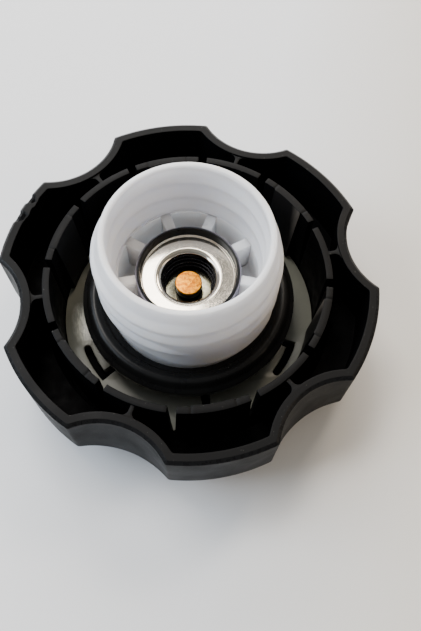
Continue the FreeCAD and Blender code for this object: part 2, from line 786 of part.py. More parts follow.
stem_hole = "(dim.stem_radius + dim.stem_clearance)"
pocket_radius = "(dim.head_radius + dim.plate_pocket_clearance)"
vacuum_plate = turned_part(
    "vacuum_plate",
    vacuum_plate_level,
    [
        (stem_hole, "0"),
        ("dim.vacuum_plate_radius", "0"),
        ("dim.vacuum_plate_radius", "dim.vacuum_plate_thickness - dim.vacuum_plate_round"),
        ("dim.vacuum_plate_radius - dim.vacuum_plate_round", "dim.vacuum_plate_thickness"),
        (pocket_radius, "dim.vacuum_plate_thickness"),
        (pocket_radius, "dim.vacuum_plate_thickness - dim.plate_pocket_depth"),
        (stem_hole, "dim.vacuum_plate_thickness - dim.plate_pocket_depth"),
    ],
)
hole = level_sketch(vacuum_plate, "flow_hole_circle", "dim.vacuum_plate_thickness")
draw_circle(hole, "dim.flow_hole_radius", "dim.flow_hole_offset")
flow_hole = extrude(vacuum_plate, "Pocket", "flow_hole", hole, "dim.vacuum_plate_thickness")
repeat(vacuum_plate, "flow_holes", [flow_hole], "dim.flow_hole_count")

turned_part(
    "vacuum_seal",
    vacuum_seat,
    [
        ("dim.vacuum_seal_hole", "0"),
        ("dim.vacuum_seal_radius", "0"),
        ("dim.vacuum_seal_radius", "dim.vacuum_seal_thickness"),
        ("dim.vacuum_seal_hole", "dim.vacuum_seal_thickness"),
    ],
)

# Stem, measured from the underside of the poppet disc that its riveted foot holds
skirt_level = f"({head_rise} + dim.head_skirt_height)"
turned_part(
    "pressure_stem",
    poppet_level,
    [
        ("0", "-dim.stem_rivet_height"),
        ("dim.stem_rivet_radius", "-dim.stem_rivet_height"),
        ("dim.stem_rivet_radius", "0"),
        ("dim.stem_radius", "0"),
        ("dim.stem_radius", skirt_level),
        ("dim.head_radius - dim.head_skirt_wall", skirt_level),
        ("dim.head_radius - dim.head_skirt_wall", head_rise),
        ("dim.head_radius", head_rise),
        ("dim.head_radius", f"{skirt_level} + dim.head_thickness"),
        ("0", f"{skirt_level} + dim.head_thickness"),
    ],
)

for label, level, thickness in (
    ("poppet_disc", poppet_level, "dim.poppet_thickness"),
    ("poppet_seal", poppet_seal_level, "dim.poppet_seal_thickness"),
):
    turned_part(
        label,
        level,
        [
            ("dim.stem_radius + dim.poppet_fit", "0"),
            ("dim.poppet_radius", "0"),
            ("dim.poppet_radius", thickness),
            ("dim.stem_radius + dim.poppet_fit", thickness),
        ],
    )

turned_part(
    "copper_cap",
    copper_level,
    [
        ("0", "0"),
        ("dim.copper_radius", "0"),
        ("dim.copper_radius", "dim.copper_thickness - dim.copper_chamfer"),
        ("dim.copper_radius - dim.copper_chamfer", "dim.copper_thickness"),
        ("0", "dim.copper_thickness"),
    ],
)

coil(
    "pressure_spring",
    pocket_floor,
    "dim.pressure_wire_radius",
    "dim.pressure_coil_radius",
    "(dim.head_gap + dim.head_skirt_height)",
    "dim.pressure_coil_turns",
)

doc.recompute()

# Every feature has to be up to date and every sub-part a single sound solid before it is written
for item in doc.Objects:
    state = " ".join(item.State)
    if "Invalid" in state or "Error" in state:
        raise RuntimeError(f"{item.Label} is {state}")

os.makedirs("parts", exist_ok=True)
bodies = [item for item in doc.Objects if item.TypeId == "PartDesign::Body"]
for body in bodies:
    shape = body.Shape
    if shape.isNull() or not shape.isValid() or len(shape.Solids) != 1:
        raise RuntimeError(f"{body.Label} is not one sound solid")
    shape.exportStep(f"parts/{body.Label}.step")
    box = shape.BoundBox
    print(body.Label, round(shape.Volume, 1), round(box.XLength, 2), round(box.ZMin, 3), round(box.ZMax, 3))
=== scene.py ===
# %% [markdown]
# A fuel tank cap lies upside down on a pale table. Its black knob is a thin moulding with six
# lobes; a milky threaded cup stands in the middle with a small pressure and vacuum valve in it.
# The packed model gives every body its place. This lesson builds a finer skin for each piece
# around it: turned pieces from a section, and Geometry Nodes trees for what follows a rule.

# %% Load the frame
import bmesh
import bpy
import math
from mathutils import Matrix, Vector, noise


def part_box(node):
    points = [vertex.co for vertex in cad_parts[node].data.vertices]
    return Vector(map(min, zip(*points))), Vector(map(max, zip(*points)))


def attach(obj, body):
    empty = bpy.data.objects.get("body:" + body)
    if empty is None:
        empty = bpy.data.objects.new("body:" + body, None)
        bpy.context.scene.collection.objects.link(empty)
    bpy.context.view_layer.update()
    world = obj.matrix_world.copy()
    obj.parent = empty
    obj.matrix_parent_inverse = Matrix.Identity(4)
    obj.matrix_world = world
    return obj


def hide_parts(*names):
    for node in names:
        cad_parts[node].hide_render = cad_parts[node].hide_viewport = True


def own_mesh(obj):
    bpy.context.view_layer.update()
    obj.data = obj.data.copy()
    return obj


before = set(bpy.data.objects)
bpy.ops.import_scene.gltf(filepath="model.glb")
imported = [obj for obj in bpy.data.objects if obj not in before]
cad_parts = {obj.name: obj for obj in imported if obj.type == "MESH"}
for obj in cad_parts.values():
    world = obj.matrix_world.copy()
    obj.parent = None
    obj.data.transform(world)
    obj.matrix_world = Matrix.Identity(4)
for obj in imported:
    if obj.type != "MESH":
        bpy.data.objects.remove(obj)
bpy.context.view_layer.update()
MM = 0.001

# %% [markdown]
# The sizes that drive the shapes are read from the packed solids, so a changed solid changes the
# skin as well. Everything below is in millimetres until a mesh is made. Only the lobes stand a
# hair further out than the solid's, as far as the picture shows them.

# %% Driving sizes from the frame


def extent(node):
    """Lowest and highest corner of a solid in millimetres."""
    low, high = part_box(node)
    return [v / MM for v in low], [v / MM for v in high]


LOBE_GROWTH = 0.2
knob_high = extent("grip_cover")[1]
plate_low, plate_high = extent("ratchet_plate")
plug_low, plug_high = extent("threaded_plug")
gasket_low, gasket_high = extent("neck_gasket")
disc_low, disc_high = extent("spring_retainer")
KNOB_R = knob_high[1] + LOBE_GROWTH
RIM_Z = knob_high[2]
CUP_Z = plug_high[2]
FLANGE_R = plug_high[0]
PLATE_R = plate_high[0]
GASKET_R = gasket_high[0]
print("knob", round(KNOB_R, 2), "rim", round(RIM_Z, 2))
print("cup", round(CUP_Z, 2), "plate", round(PLATE_R, 2))

# %% [markdown]
# Most pieces are turned. A section is a list of corners, each with its own rounding, because a
# moulded or pressed edge is never sharp and its small round is what catches the light.

# %% Rounded sections


def rounded(corners, closed=True, steps=5):
    """Points of a section whose corners (r, z, round) are replaced by arcs."""
    points = []
    last = len(corners) - 1
    for index, (r, z, radius) in enumerate(corners):
        here = Vector((r, z))
        if radius == 0 or (not closed and index in (0, last)):
            points.append((r, z))
            continue
        into = (Vector(corners[index - 1][:2]) - here).normalized()
        away = (Vector(corners[(index + 1) % len(corners)][:2]) - here).normalized()
        half = into.angle(away) / 2
        centre = here + (into + away).normalized() * radius / math.sin(half)
        start = here + into * radius / math.tan(half) - centre
        end = here + away * radius / math.tan(half) - centre
        first = math.atan2(start.y, start.x)
        turn = (math.atan2(end.y, end.x) - first + math.pi) % (2 * math.pi) - math.pi
        for step in range(steps + 1):
            angle = first + turn * step / steps
            points.append((centre.x + radius * math.cos(angle), centre.y + radius * math.sin(angle)))
    return points


sample = rounded([(0, 0, 0), (2, 0, 0.5), (2, 2, 0), (0, 2, 0)])
print("points of a square with one round corner", len(sample))

# %% [markdown]
# The lathe turns a section into rings of faces. A ring with no radius becomes one point, so a
# closed crown has a single pole and no hole.

# %% The lathe
RING_COLUMNS = 180


def to_mesh(name, shape):
    """A plain mesh from bmesh with its faces pointing outward."""
    bmesh.ops.recalc_face_normals(shape, faces=shape.faces)
    mesh = bpy.data.meshes.new(name)
    shape.to_mesh(mesh)
    shape.free()
    return mesh


def lathe(name, section, columns=RING_COLUMNS, closed=True):
    """Turns a section of (r, z) points about the axis."""
    shape = bmesh.new()
    rings = []
    for r, z in section:
        if r < 1e-6:
            rings.append([shape.verts.new((0, 0, z * MM))])
            continue
        ring = []
        for column in range(columns):
            angle = 2 * math.pi * column / columns
            ring.append(shape.verts.new((r * math.cos(angle) * MM, r * math.sin(angle) * MM, z * MM)))
        rings.append(ring)
    following = rings[1:] + (rings[:1] if closed else [])
    for lower, upper in zip(rings, following):
        for column in range(columns):
            after = (column + 1) % columns
            quad = [lower[column % len(lower)], lower[after % len(lower)]]
            quad += [upper[after % len(upper)], upper[column % len(upper)]]
            corners = list(dict.fromkeys(quad))
            if len(corners) > 2:
                shape.faces.new(corners)
    return to_mesh(name, shape)


def band(name, inner, outer, low, high, low_round=0, high_round=0):
    """A turned band whose section is a rectangle."""
    foot = [(inner, low, low_round), (outer, low, low_round)]
    return lathe(name, rounded(foot + [(outer, high, high_round), (inner, high, high_round)]))


print("columns of a turned ring", RING_COLUMNS)

# %% [markdown]
# A piece of the scene is a mesh with a finish, tied to the body it moves with. It may stand for
# one of the packed solids, which is then hidden. Modifiers and node trees are run on a holder
# first, so what reaches the scene is always a plain mesh.

# %% Pieces
CREASE = 32


def piece(mesh, body, finish, stands_for=(), crease=CREASE):
    """Makes the object, shades it smooth up to a crease angle and ties it to its body."""
    made = bpy.data.objects.new(mesh.name, mesh)
    bpy.context.scene.collection.objects.link(made)
    if finish.name not in [m.name for m in mesh.materials if m]:
        mesh.materials.append(finish)
    mesh.polygons.foreach_set("use_smooth", [True] * len(mesh.polygons))
    mesh.set_sharp_from_angle(angle=math.radians(crease))
    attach(made, body)
    if stands_for:
        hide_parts(*stands_for)
    print(made.name, len(mesh.polygons), "faces on", body)
    return made


def with_modifiers(mesh, *steps):
    """Runs modifiers or node trees over a mesh and returns the result as a plain mesh."""
    holder = bpy.data.objects.new("holder", mesh)
    bpy.context.scene.collection.objects.link(holder)
    for step in steps:
        step(holder)
    bpy.context.view_layer.update()
    evaluated = holder.evaluated_get(bpy.context.evaluated_depsgraph_get())
    plain = bpy.data.meshes.new_from_object(evaluated)
    plain.name = mesh.name
    bpy.data.objects.remove(holder)
    return plain


def bevelled(width, segments=2, limit=35):
    """A step that rounds every edge sharper than a limit."""

    def step(holder):
        modifier = holder.modifiers.new("round", "BEVEL")
        modifier.width = width * MM
        modifier.segments = segments
        modifier.limit_method = "ANGLE"
        modifier.angle_limit = math.radians(limit)

    return step


print("edges sharper than", CREASE, "degrees stay sharp in the shading")

# %% [markdown]
# Node trees, for shapes and for finishes, are built from a few small helpers: one feeds a socket,
# one adds a node with its wires. A term is a value inside a tree. The usual signs between terms
# add the Math nodes, so that a rule reads here as the formula that it is.

# %% Node helpers


def feed(tree, socket, source):
    """Wires a socket to a source, or writes a plain value into it."""
    if isinstance(source, Term):
        source = source.source
    if isinstance(source, bpy.types.NodeSocket):
        tree.links.new(source, socket)
    else:
        socket.default_value = source


def add(tree, kind, wires=None, **settings):
    """Adds a node, sets its options and feeds its sockets."""
    made = tree.nodes.new(kind)
    for key, value in settings.items():
        setattr(made, key, value)
    for socket, source in (wires or {}).items():
        feed(tree, made.inputs[socket], source)
    return made


class Term:
    """A number or a socket of a tree, on which arithmetic adds Math nodes."""

    def __init__(self, tree, source):
        self.tree = tree
        self.source = source

    def math(self, operation, *others):
        """One Math node, with this term as its first value."""
        made = add(self.tree, "ShaderNodeMath", operation=operation)
        for socket, source in zip(made.inputs, (self, *others)):
            feed(self.tree, socket, source)
        return Term(self.tree, made.outputs[0])

    def held(self):
        """The term, held between nothing and one."""
        return self.math("MINIMUM", 1.0).math("MAXIMUM", 0.0)

    def __add__(self, other):
        return self.math("ADD", other)

    def __sub__(self, other):
        return self.math("SUBTRACT", other)

    def __mul__(self, other):
        return self.math("MULTIPLY", other)

    def __truediv__(self, other):
        return self.math("DIVIDE", other)


def split(tree, vector):
    """The three parts of a vector, as terms."""
    return [Term(tree, part) for part in add(tree, "ShaderNodeSeparateXYZ", {0: vector}).outputs]


def joined(tree, x, y, z):
    """A vector from three terms or numbers."""
    return add(tree, "ShaderNodeCombineXYZ", {0: x, 1: y, 2: z}).outputs[0]


print("a term has signs and", [name for name in vars(Term) if "__" not in name])

# %% [markdown]
# A shape tree takes the geometry and its named sizes, and ends in real geometry with a finish. To
# use one, a step puts it on the holder and writes each size to the socket's identifier.

# %% Shape trees


def shape_tree(name, numbers, whole=()):
    """An empty Geometry Nodes tree with named inputs, and these inputs as terms."""
    tree = bpy.data.node_groups.new(name, "GeometryNodeTree")
    tree.interface.new_socket("Geometry", in_out="OUTPUT", socket_type="NodeSocketGeometry")
    tree.interface.new_socket("Geometry", in_out="INPUT", socket_type="NodeSocketGeometry")
    for label in numbers:
        kind = "NodeSocketInt" if label in whole else "NodeSocketFloat"
        tree.interface.new_socket(label, in_out="INPUT", socket_type=kind)
    tree.interface.new_socket("Finish", in_out="INPUT", socket_type="NodeSocketMaterial")
    entry = tree.nodes.new("NodeGroupInput")
    return tree, {socket.name: Term(tree, socket) for socket in entry.outputs if socket.name}


def end_tree(tree, given, geometry):
    """Closes a tree with real geometry that carries its finish."""
    real = add(tree, "GeometryNodeRealizeInstances", {"Geometry": geometry}).outputs[0]
    finished = add(tree, "GeometryNodeSetMaterial", {"Geometry": real, "Material": given["Finish"]})
    leave = tree.nodes.new("NodeGroupOutput")
    tree.links.new(finished.outputs[0], leave.inputs["Geometry"])
    print("tree", tree.name, len(tree.nodes), "nodes")


def here(tree):
    """The place of each point: its three parts, and how far it lies from the axis."""
    x, y, z = split(tree, add(tree, "GeometryNodeInputPosition").outputs[0])
    return x, y, z, (x * x + y * y).math("SQRT")


def end_at_radius(tree, given, point, wanted, chosen):
    """Ends a tree by moving the chosen points to a wanted distance from the axis."""
    x, y, z, radius = point
    scale = wanted / radius.math("MAXIMUM", 1e-6)
    wires = {"Geometry": given["Geometry"], "Selection": chosen}
    wires["Position"] = joined(tree, x * scale, y * scale, z)
    end_tree(tree, given, add(tree, "GeometryNodeSetPosition", wires).outputs[0])


def grown(tree, **values):
    """A step that runs a tree with its named inputs set by their identifiers."""

    def step(holder):
        modifier = holder.modifiers.new(tree.name, "NODES")
        modifier.node_group = tree
        for item in tree.interface.items_tree:
            wanted = item.name.lower().replace(" ", "_")
            if item.item_type == "SOCKET" and item.in_out == "INPUT" and wanted in values:
                modifier[item.identifier] = values[wanted]

    return step


print("a shape tree has inputs Geometry, its own sizes and Finish")

# %% [markdown]
# Finishes come next. Each starts from one shader with its plain values, then gets what the real
# surface shows: fine moulding grain, dust, rub marks or mottling, all in object space.

# %% Finish helpers


def finish(name, color, roughness, tones=None, sheen=None, bumps=None, **values):
    """A material with one Principled shader and its constants set on its own sockets.

    A pattern is a noise's size and detail, and what it drives: two tones of the colour, two values
    of the roughness over the middle of the noise's range, or a bump's strength and depth.
    """
    made = bpy.data.materials.new(name)
    made.use_nodes = True
    tree = made.node_tree
    tree.nodes.clear()
    shader = tree.nodes.new("ShaderNodeBsdfPrincipled")
    shader.inputs["Base Color"].default_value = (*color, 1)
    shader.inputs["Roughness"].default_value = roughness
    for label, value in values.items():
        shader.inputs[label.replace("_", " ")].default_value = value
    leave = tree.nodes.new("ShaderNodeOutputMaterial")
    tree.links.new(shader.outputs[0], leave.inputs[0])
    if tones:
        tint(tree, speckle(tree, *tones[:2]), *tones[2:])
    if sheen:
        spots = speckle(tree, *sheen[:2])
        feed(tree, shader.inputs["Roughness"], between(tree, spots, 0.3, 0.7, *sheen[2:]))
    if bumps:
        relief(tree, speckle(tree, *bumps[:2]), *bumps[2:])
    print("finish", name)
    return made


def shader_of(tree):
    """The sockets of a finish's shader."""
    return tree.nodes["Principled BSDF"].inputs


def place(tree, stretch=(1, 1, 1)):
    """Object coordinates, stretched where a pattern runs one way."""
    where = tree.nodes.new("ShaderNodeTexCoord").outputs["Object"]
    return add(tree, "ShaderNodeMapping", {"Vector": where, "Scale": stretch}).outputs[0]


def speckle(tree, size, detail=2.0, stretch=(1, 1, 1)):
    """Noise whose spots are about so many millimetres across."""
    wires = {"Vector": place(tree, stretch), "Scale": 1 / (size * MM), "Detail": detail}
    return Term(tree, add(tree, "ShaderNodeTexNoise", wires).outputs["Fac"])


def between(tree, value, low, high, start=0.0, end=1.0):
    """Maps a value from one range to another, held at its ends."""
    wires = {"Value": value, "From Min": low, "From Max": high, "To Min": start, "To Max": end}
    return Term(tree, add(tree, "ShaderNodeMapRange", wires).outputs[0])


def blend(tree, amount, first, second):
    """Mixes two colours by an amount."""
    made = add(tree, "ShaderNodeMix", data_type="RGBA")
    feed(tree, made.inputs[0], amount)
    for socket, color in ((made.inputs[6], first), (made.inputs[7], second)):
        feed(tree, socket, color if isinstance(color, bpy.types.NodeSocket) else (*color, 1))
    return made.outputs[2]


def tint(tree, pattern, first, second):
    """Lets a finish's colour wander between two tones with a pattern."""
    feed(tree, shader_of(tree)["Base Color"], blend(tree, pattern, first, second))


def relief(tree, height, strength, depth):
    """Bumps a finish by a height of so many millimetres."""
    wires = {"Height": height, "Strength": strength, "Distance": depth * MM}
    feed(tree, shader_of(tree)["Normal"], add(tree, "ShaderNodeBump", wires).outputs[0])


def wear(mesh, *finishes):
    """Gives a mesh its finishes, in the order that its faces' numbers count."""
    mesh.materials.clear()
    for item in finishes:
        mesh.materials.append(item)


print("patterns of a finish: tones, sheen and bumps")

# %% [markdown]
# The knob is a black moulding. Its outer faces and edges carry a fine spark-eroded grain that scatters
# light into a soft dark grey, with a little pale dust in it. The bevel along the rim is smoother. The
# deep inner faces get a darker, duller copy of the black, painted shade, so they give almost nothing
# back. The hooks' leaning faces get their own copy, near black and paler with fine streaks at the right:
# painted light.

# %% Black moulding
# Where the painted light on the hooks' leaning faces begins and where it is full, along x in millimetres.
PAINTED_LIGHT_FROM, PAINTED_LIGHT_FULL = 35.5, 37.0
moulded = dict(sheen=(9.0, 4.0, 0.44, 0.6), bumps=(0.22, 3.0, 0.35, 0.05), Specular_IOR_Level=0.1)
black_moulding = finish("black_moulding", (0.005, 0.005, 0.0052), 0.5, **moulded)
tree = black_moulding.node_tree
dust = between(tree, speckle(tree, 0.5, 1.0), 0.745, 0.79)
tone = blend(tree, speckle(tree, 9.0, 4.0), (0.003, 0.003, 0.0032), (0.0062, 0.006, 0.0058))
tint(tree, dust * 0.4, tone, (0.25, 0.24, 0.22))

# Painted light: the hooks' leaning faces are near black, turning paler with fine streaks towards the
# right, as if lit there.
rubbed_black = finish("rubbed_black", (0.05, 0.045, 0.04), 0.5, Specular_IOR_Level=0.1)
tree = rubbed_black.node_tree
streak_pattern = speckle(tree, 0.8, 4.0, (1.0, 1.0, 0.12))
painted_lit_tone = blend(tree, streak_pattern, (0.035, 0.032, 0.03), (0.12, 0.108, 0.094))
at_right = between(tree, split(tree, place(tree))[0], PAINTED_LIGHT_FROM * MM, PAINTED_LIGHT_FULL * MM)
tint(tree, at_right, (0.003, 0.003, 0.0033), painted_lit_tone)
relief(tree, streak_pattern, 0.3, 0.08)

edge = dict(sheen=(1.2, 3.0, 0.22, 0.34), bumps=(0.8, 2.0, 0.12, 0.05), Specular_IOR_Level=0.1)
polished_rim = finish("polished_rim", (0.008, 0.008, 0.0084), 0.28, **edge)
# Painted shade: a darker, duller copy of the black for the deep inner faces.
hollow = dict(sheen=(3.0, 3.0, 0.4, 0.6), bumps=(0.5, 2.0, 0.15, 0.05), Specular_IOR_Level=0.02)
deep_black = finish("deep_black", (0.0015, 0.0015, 0.0017), 0.55, **hollow)

# %% [markdown]
# The cup is milky polypropylene: light goes in, scatters for some millimetres and comes out pale.
# Its thin ribs and the channel behind them get a brighter copy of it, painted light, and the collar
# behind the valve a darker one, painted shade.

# %% Milky plastics
milky = dict(Subsurface_Weight=0.85, Subsurface_Radius=(1.0, 1.05, 1.15), Subsurface_Scale=0.0052)
milky.update(tones=(6.0, 3.0, (0.74, 0.735, 0.755), (0.80, 0.795, 0.80)))
milky.update(sheen=(2.5, 4.0, 0.30, 0.44), bumps=(0.6, 3.0, 0.10, 0.05))
milky_plastic = finish("milky_plastic", (0.77, 0.765, 0.775), 0.36, **milky)

# Painted light: a brighter copy of the milky plastic for the cup's ribs and the channel behind them.
bright = dict(Subsurface_Weight=0.9, Subsurface_Radius=(1.0, 1.05, 1.1), Subsurface_Scale=0.006)
bright.update(tones=(4.0, 3.0, (0.95, 0.945, 0.96), (0.985, 0.985, 0.99)), bumps=(0.6, 3.0, 0.08, 0.05))
bright_ribs = finish("bright_ribs", (0.90, 0.895, 0.90), 0.32, **bright)

# Painted shade: a darker copy for the collar's outside, which lies in shade.
shaded = dict(tones=(2.0, 3.0, (0.15, 0.14, 0.18), (0.26, 0.25, 0.30)), bumps=(0.6, 3.0, 0.08, 0.05))
shaded_plastic = finish("shaded_plastic", (0.20, 0.19, 0.23), 0.4, **shaded)

# %% [markdown]
# The ratchet plate is a stiffer, grey-olive plastic with stains. At the left a pale oval patch, streaked
# by fine rub marks, is a painted highlight of glare; there the surface is also smoother and the rub marks
# stand out more. Stains make the patch's edge wander.

# %% Plate with painted glare
# The painted highlight's middle, and its half sizes across and along.
GLARE_X, GLARE_Y = -34.6, 1.0
GLARE_ACROSS, GLARE_ALONG = 3.6, 8.0
rubbed_plate = finish("rubbed_plate", (0.22, 0.22, 0.17), 0.3)
tree = rubbed_plate.node_tree
rub = speckle(tree, 0.45, 4.0, (1.0, 0.22, 1.0))
stain = speckle(tree, 7.0, 4.0)
x, y, z = split(tree, place(tree))
across = (x - GLARE_X * MM) / (GLARE_ACROSS * MM)
along = (y - GLARE_Y * MM) / (GLARE_ALONG * MM)
away = (across * across + along * along).math("SQRT")
# Where the painted highlight lies, fading at its edge.
glare_patch = between(tree, away + stain * 0.5, 1.3, 0.6)
olive = blend(tree, stain, (0.16, 0.16, 0.13), (0.23, 0.23, 0.185))
tint(tree, between(tree, rub, 0.4, 0.6, 0.45, 1.0) * glare_patch, olive, (0.80, 0.79, 0.66))
feed(tree, shader_of(tree)["Roughness"], between(tree, glare_patch, 0.0, 1.0, 0.42, 0.28))
relief(tree, rub, glare_patch * 0.25 + 0.02, 0.06)

# %% [markdown]
# Rubber is nearly black with a soft sheen; the pressed disc is polished sheet steel; the button is copper
# plated and mottled by fuel; the springs are dark drawn wire, kept darker still as painted shade of the
# deep hole. The same wire finish paints shade on the disc's sheet down in its hole, and the valve plate's
# zinc is kept dark as painted shade too.

# %% Rubber and metals
rubber = dict(sheen=(5.0, 4.0, 0.24, 0.36), bumps=(0.35, 2.0, 0.08, 0.05), Specular_IOR_Level=0.16)
rubber.update(tones=(5.0, 4.0, (0.005, 0.005, 0.0055), (0.011, 0.0107, 0.0098)))
soft_rubber = finish("soft_rubber", (0.006, 0.006, 0.0065), 0.3, **rubber)

cup_black = dict(sheen=(1.5, 3.0, 0.32, 0.5), bumps=(0.3, 2.0, 0.15, 0.04))
black_housing = finish("black_housing", (0.01, 0.01, 0.0105), 0.4, **cup_black)

steel = dict(tones=(4.0, 3.0, (0.46, 0.415, 0.345), (0.58, 0.535, 0.46)), Metallic=1.0)
steel.update(sheen=(0.5, 4.0, 0.06, 0.15), bumps=(3.0, 2.0, 0.04, 0.04))
pressed_steel = finish("pressed_steel", (0.70, 0.68, 0.64), 0.13, **steel)

# Dark wire, darkened further as painted shade of the deep hole; it also paints shade on the disc's hole.
wire_black = dict(sheen=(0.6, 3.0, 0.2, 0.35), Metallic=0.9, Specular_IOR_Level=0.1)
spring_wire = finish("spring_wire", (0.018, 0.017, 0.018), 0.25, **wire_black)

mottles = dict(bumps=(0.9, 4.0, 0.3, 0.08), Metallic=1.0)
mottled_copper = finish("mottled_copper", (0.85, 0.40, 0.18), 0.42, **mottles)
tree = mottled_copper.node_tree
pits = between(tree, speckle(tree, 0.35, 2.0), 0.62, 0.68)
blotch = between(tree, speckle(tree, 0.9, 4.0), 0.36, 0.62)
tint(tree, pits, blend(tree, blotch, (0.52, 0.14, 0.008), (0.90, 0.38, 0.02)), (0.26, 0.07, 0.01))

# The zinc's colour is kept dark as painted shade of the deep hole it lies in; the spangle is the zinc's
# own.
dull_zinc = finish("dull_zinc", (0.10, 0.10, 0.07), 0.2, Metallic=1.0)
tree = dull_zinc.node_tree
spangle = add(tree, "ShaderNodeTexVoronoi", {"Vector": place(tree), "Scale": 900.0}).outputs["Distance"]
tint(tree, spangle, (0.10, 0.095, 0.06), (0.17, 0.16, 0.12))
relief(tree, spangle, 0.06, 0.05)

# %% [markdown]
# The skirt's outline follows a rule: a circle for the lobes, bitten by six round scallops, which
# get flatter towards the skirt's foot, because the wall leans so that the mould could open. The
# tree takes a plainly turned knob and moves every point outside a given radius onto that outline.
# The inner face of the wall uses the same rule moved inward, so the wall keeps its thickness.

# %% Tree that scallops the skirt
names = ["Count", "Knob Radius", "Scallop Centre", "Scallop Radius", "Foot Centre", "Foot Radius"]
names += ["Rim Height", "Foot Height", "Corner Round", "From Radius"]
scallops, given = shape_tree("scallops", names)
x, y, z, radius = here(scallops)
sector = Term(scallops, 2 * math.pi) / given["Count"]
turn = y.math("ARCTAN2", x) / sector
folded = (turn - turn.math("ROUND")) * sector
fall = ((given["Rim Height"] - z) / (given["Rim Height"] - given["Foot Height"])).held()
centre = fall * (given["Foot Centre"] - given["Scallop Centre"]) + given["Scallop Centre"]
bow = fall * (given["Foot Radius"] - given["Scallop Radius"]) + given["Scallop Radius"]
bite = bow + (given["Knob Radius"] - radius)
aside = centre * folded.math("SINE")
chord = (bite * bite - aside * aside).math("MAXIMUM", 0.0).math("SQRT")
edge = centre * folded.math("COSINE") - chord
outline = radius.math("SMOOTH_MIN", edge, given["Corner Round"])
outside = radius.math("GREATER_THAN", given["From Radius"])
end_at_radius(scallops, given, (x, y, z, radius), outline, outside)

# %% [markdown]
# The knob's shell is one closed section: crown, skirt, rim, trough and bowl floor. The rim has a
# flat top and a low bevel outside, and both it and the skirt below are cut into narrow rows, on
# which the chips can bend the surface.

# %% Knob shell
WALL = 3.1
SKIRT_FOOT = 11.6
CROWN_R = 47.0
CROWN_FOOT_R = 45.9
TROUGH_Z = 13.8
BOWL_R = 44.5
FLOOR_Z = 2.5
SCALLOP_CENTRE = 68.9
SCALLOP_R = 20.1
FOOT_CENTRE = 79.6
FOOT_R = 29.0
LOBES = 6
RIM_BEVEL = 1.0
RIM_DROP = 0.8
DRAFT_DROP = 1.2
CORNER_ROUND = 0.8
PLAIN_INSIDE = 50.0
COLUMNS = 1080
skirt_rows = [(KNOB_R, RIM_Z - drop, 0) for drop in (2.4, 1.8, DRAFT_DROP)]
rim_rows = [(KNOB_R - RIM_BEVEL - 0.3 * step, RIM_Z, 0) for step in range(1, 6)]
shell_section = rounded(
    [
        (0, 0, 0),
        (CROWN_FOOT_R, 0, 3.0),
        (CROWN_R, SKIRT_FOOT, 0.4),
        (KNOB_R, SKIRT_FOOT, 0.5),
        *skirt_rows,
        (KNOB_R, RIM_Z - RIM_DROP, 0.25),
        (KNOB_R - RIM_BEVEL, RIM_Z, 0.2),
        *rim_rows,
        (KNOB_R - WALL, RIM_Z, 0.2),
        (KNOB_R - WALL, TROUGH_Z, 0.6),
        (BOWL_R, TROUGH_Z, 0.3),
        (BOWL_R, FLOOR_Z, 0.5),
        (0, FLOOR_Z, 0),
    ],
    closed=False,
)
shell = lathe("knob_shell", shell_section, columns=COLUMNS, closed=False)
knob_sizes = dict(count=float(LOBES), knob_radius=KNOB_R * MM, scallop_centre=SCALLOP_CENTRE * MM)
knob_sizes.update(scallop_radius=SCALLOP_R * MM, foot_centre=FOOT_CENTRE * MM, foot_radius=FOOT_R * MM)
knob_sizes.update(rim_height=(RIM_Z - DRAFT_DROP) * MM, foot_height=SKIRT_FOOT * MM)
knob_sizes.update(corner_round=CORNER_ROUND * MM, from_radius=PLAIN_INSIDE * MM)
shell = with_modifiers(shell, grown(scallops, finish=black_moulding, **knob_sizes))
print("shell", len(shell.vertices), "points")

# %% [markdown]
# A face's row in the section tells its finish: grained outside and on the rim, smoother on the bevel, and
# from the rim's inner edge down a darker black that is painted shade.

# %% Finishes of the shell
GRAINED, SMOOTHER, PAINTED_SHADE = range(3)
row_finish = []
inside = False
for (r, z), (next_r, next_z) in zip(shell_section, shell_section[1:]):
    inside = inside or (z > RIM_Z - 0.5 and next_r < KNOB_R - WALL + 0.01)
    on_bevel = r > KNOB_R - RIM_BEVEL - 0.1 and z > RIM_Z - RIM_DROP - 0.25 and next_z < RIM_Z - 0.01
    row_finish.append(PAINTED_SHADE if inside else SMOOTHER if on_bevel else GRAINED)
# The rows inside the rim get painted shade.
wear(shell, black_moulding, polished_rim, deep_black)
for face in shell.polygons:
    face.material_index = row_finish[face.index // COLUMNS]
print("rows grained, smoother, deep", [row_finish.count(kind) for kind in range(3)])

# %% [markdown]
# The rim of one lobe was knocked: two short dents are torn into its outer part, and the inner edge beside
# them is pushed inward a little. The faces deep in the dents get the darker black, painted shade. Seeded
# noise makes their edges ragged. A dent is written as its angle, half its length, its middle radius, its
# reach and its depth; a pushed stretch as its angle and half its spread.

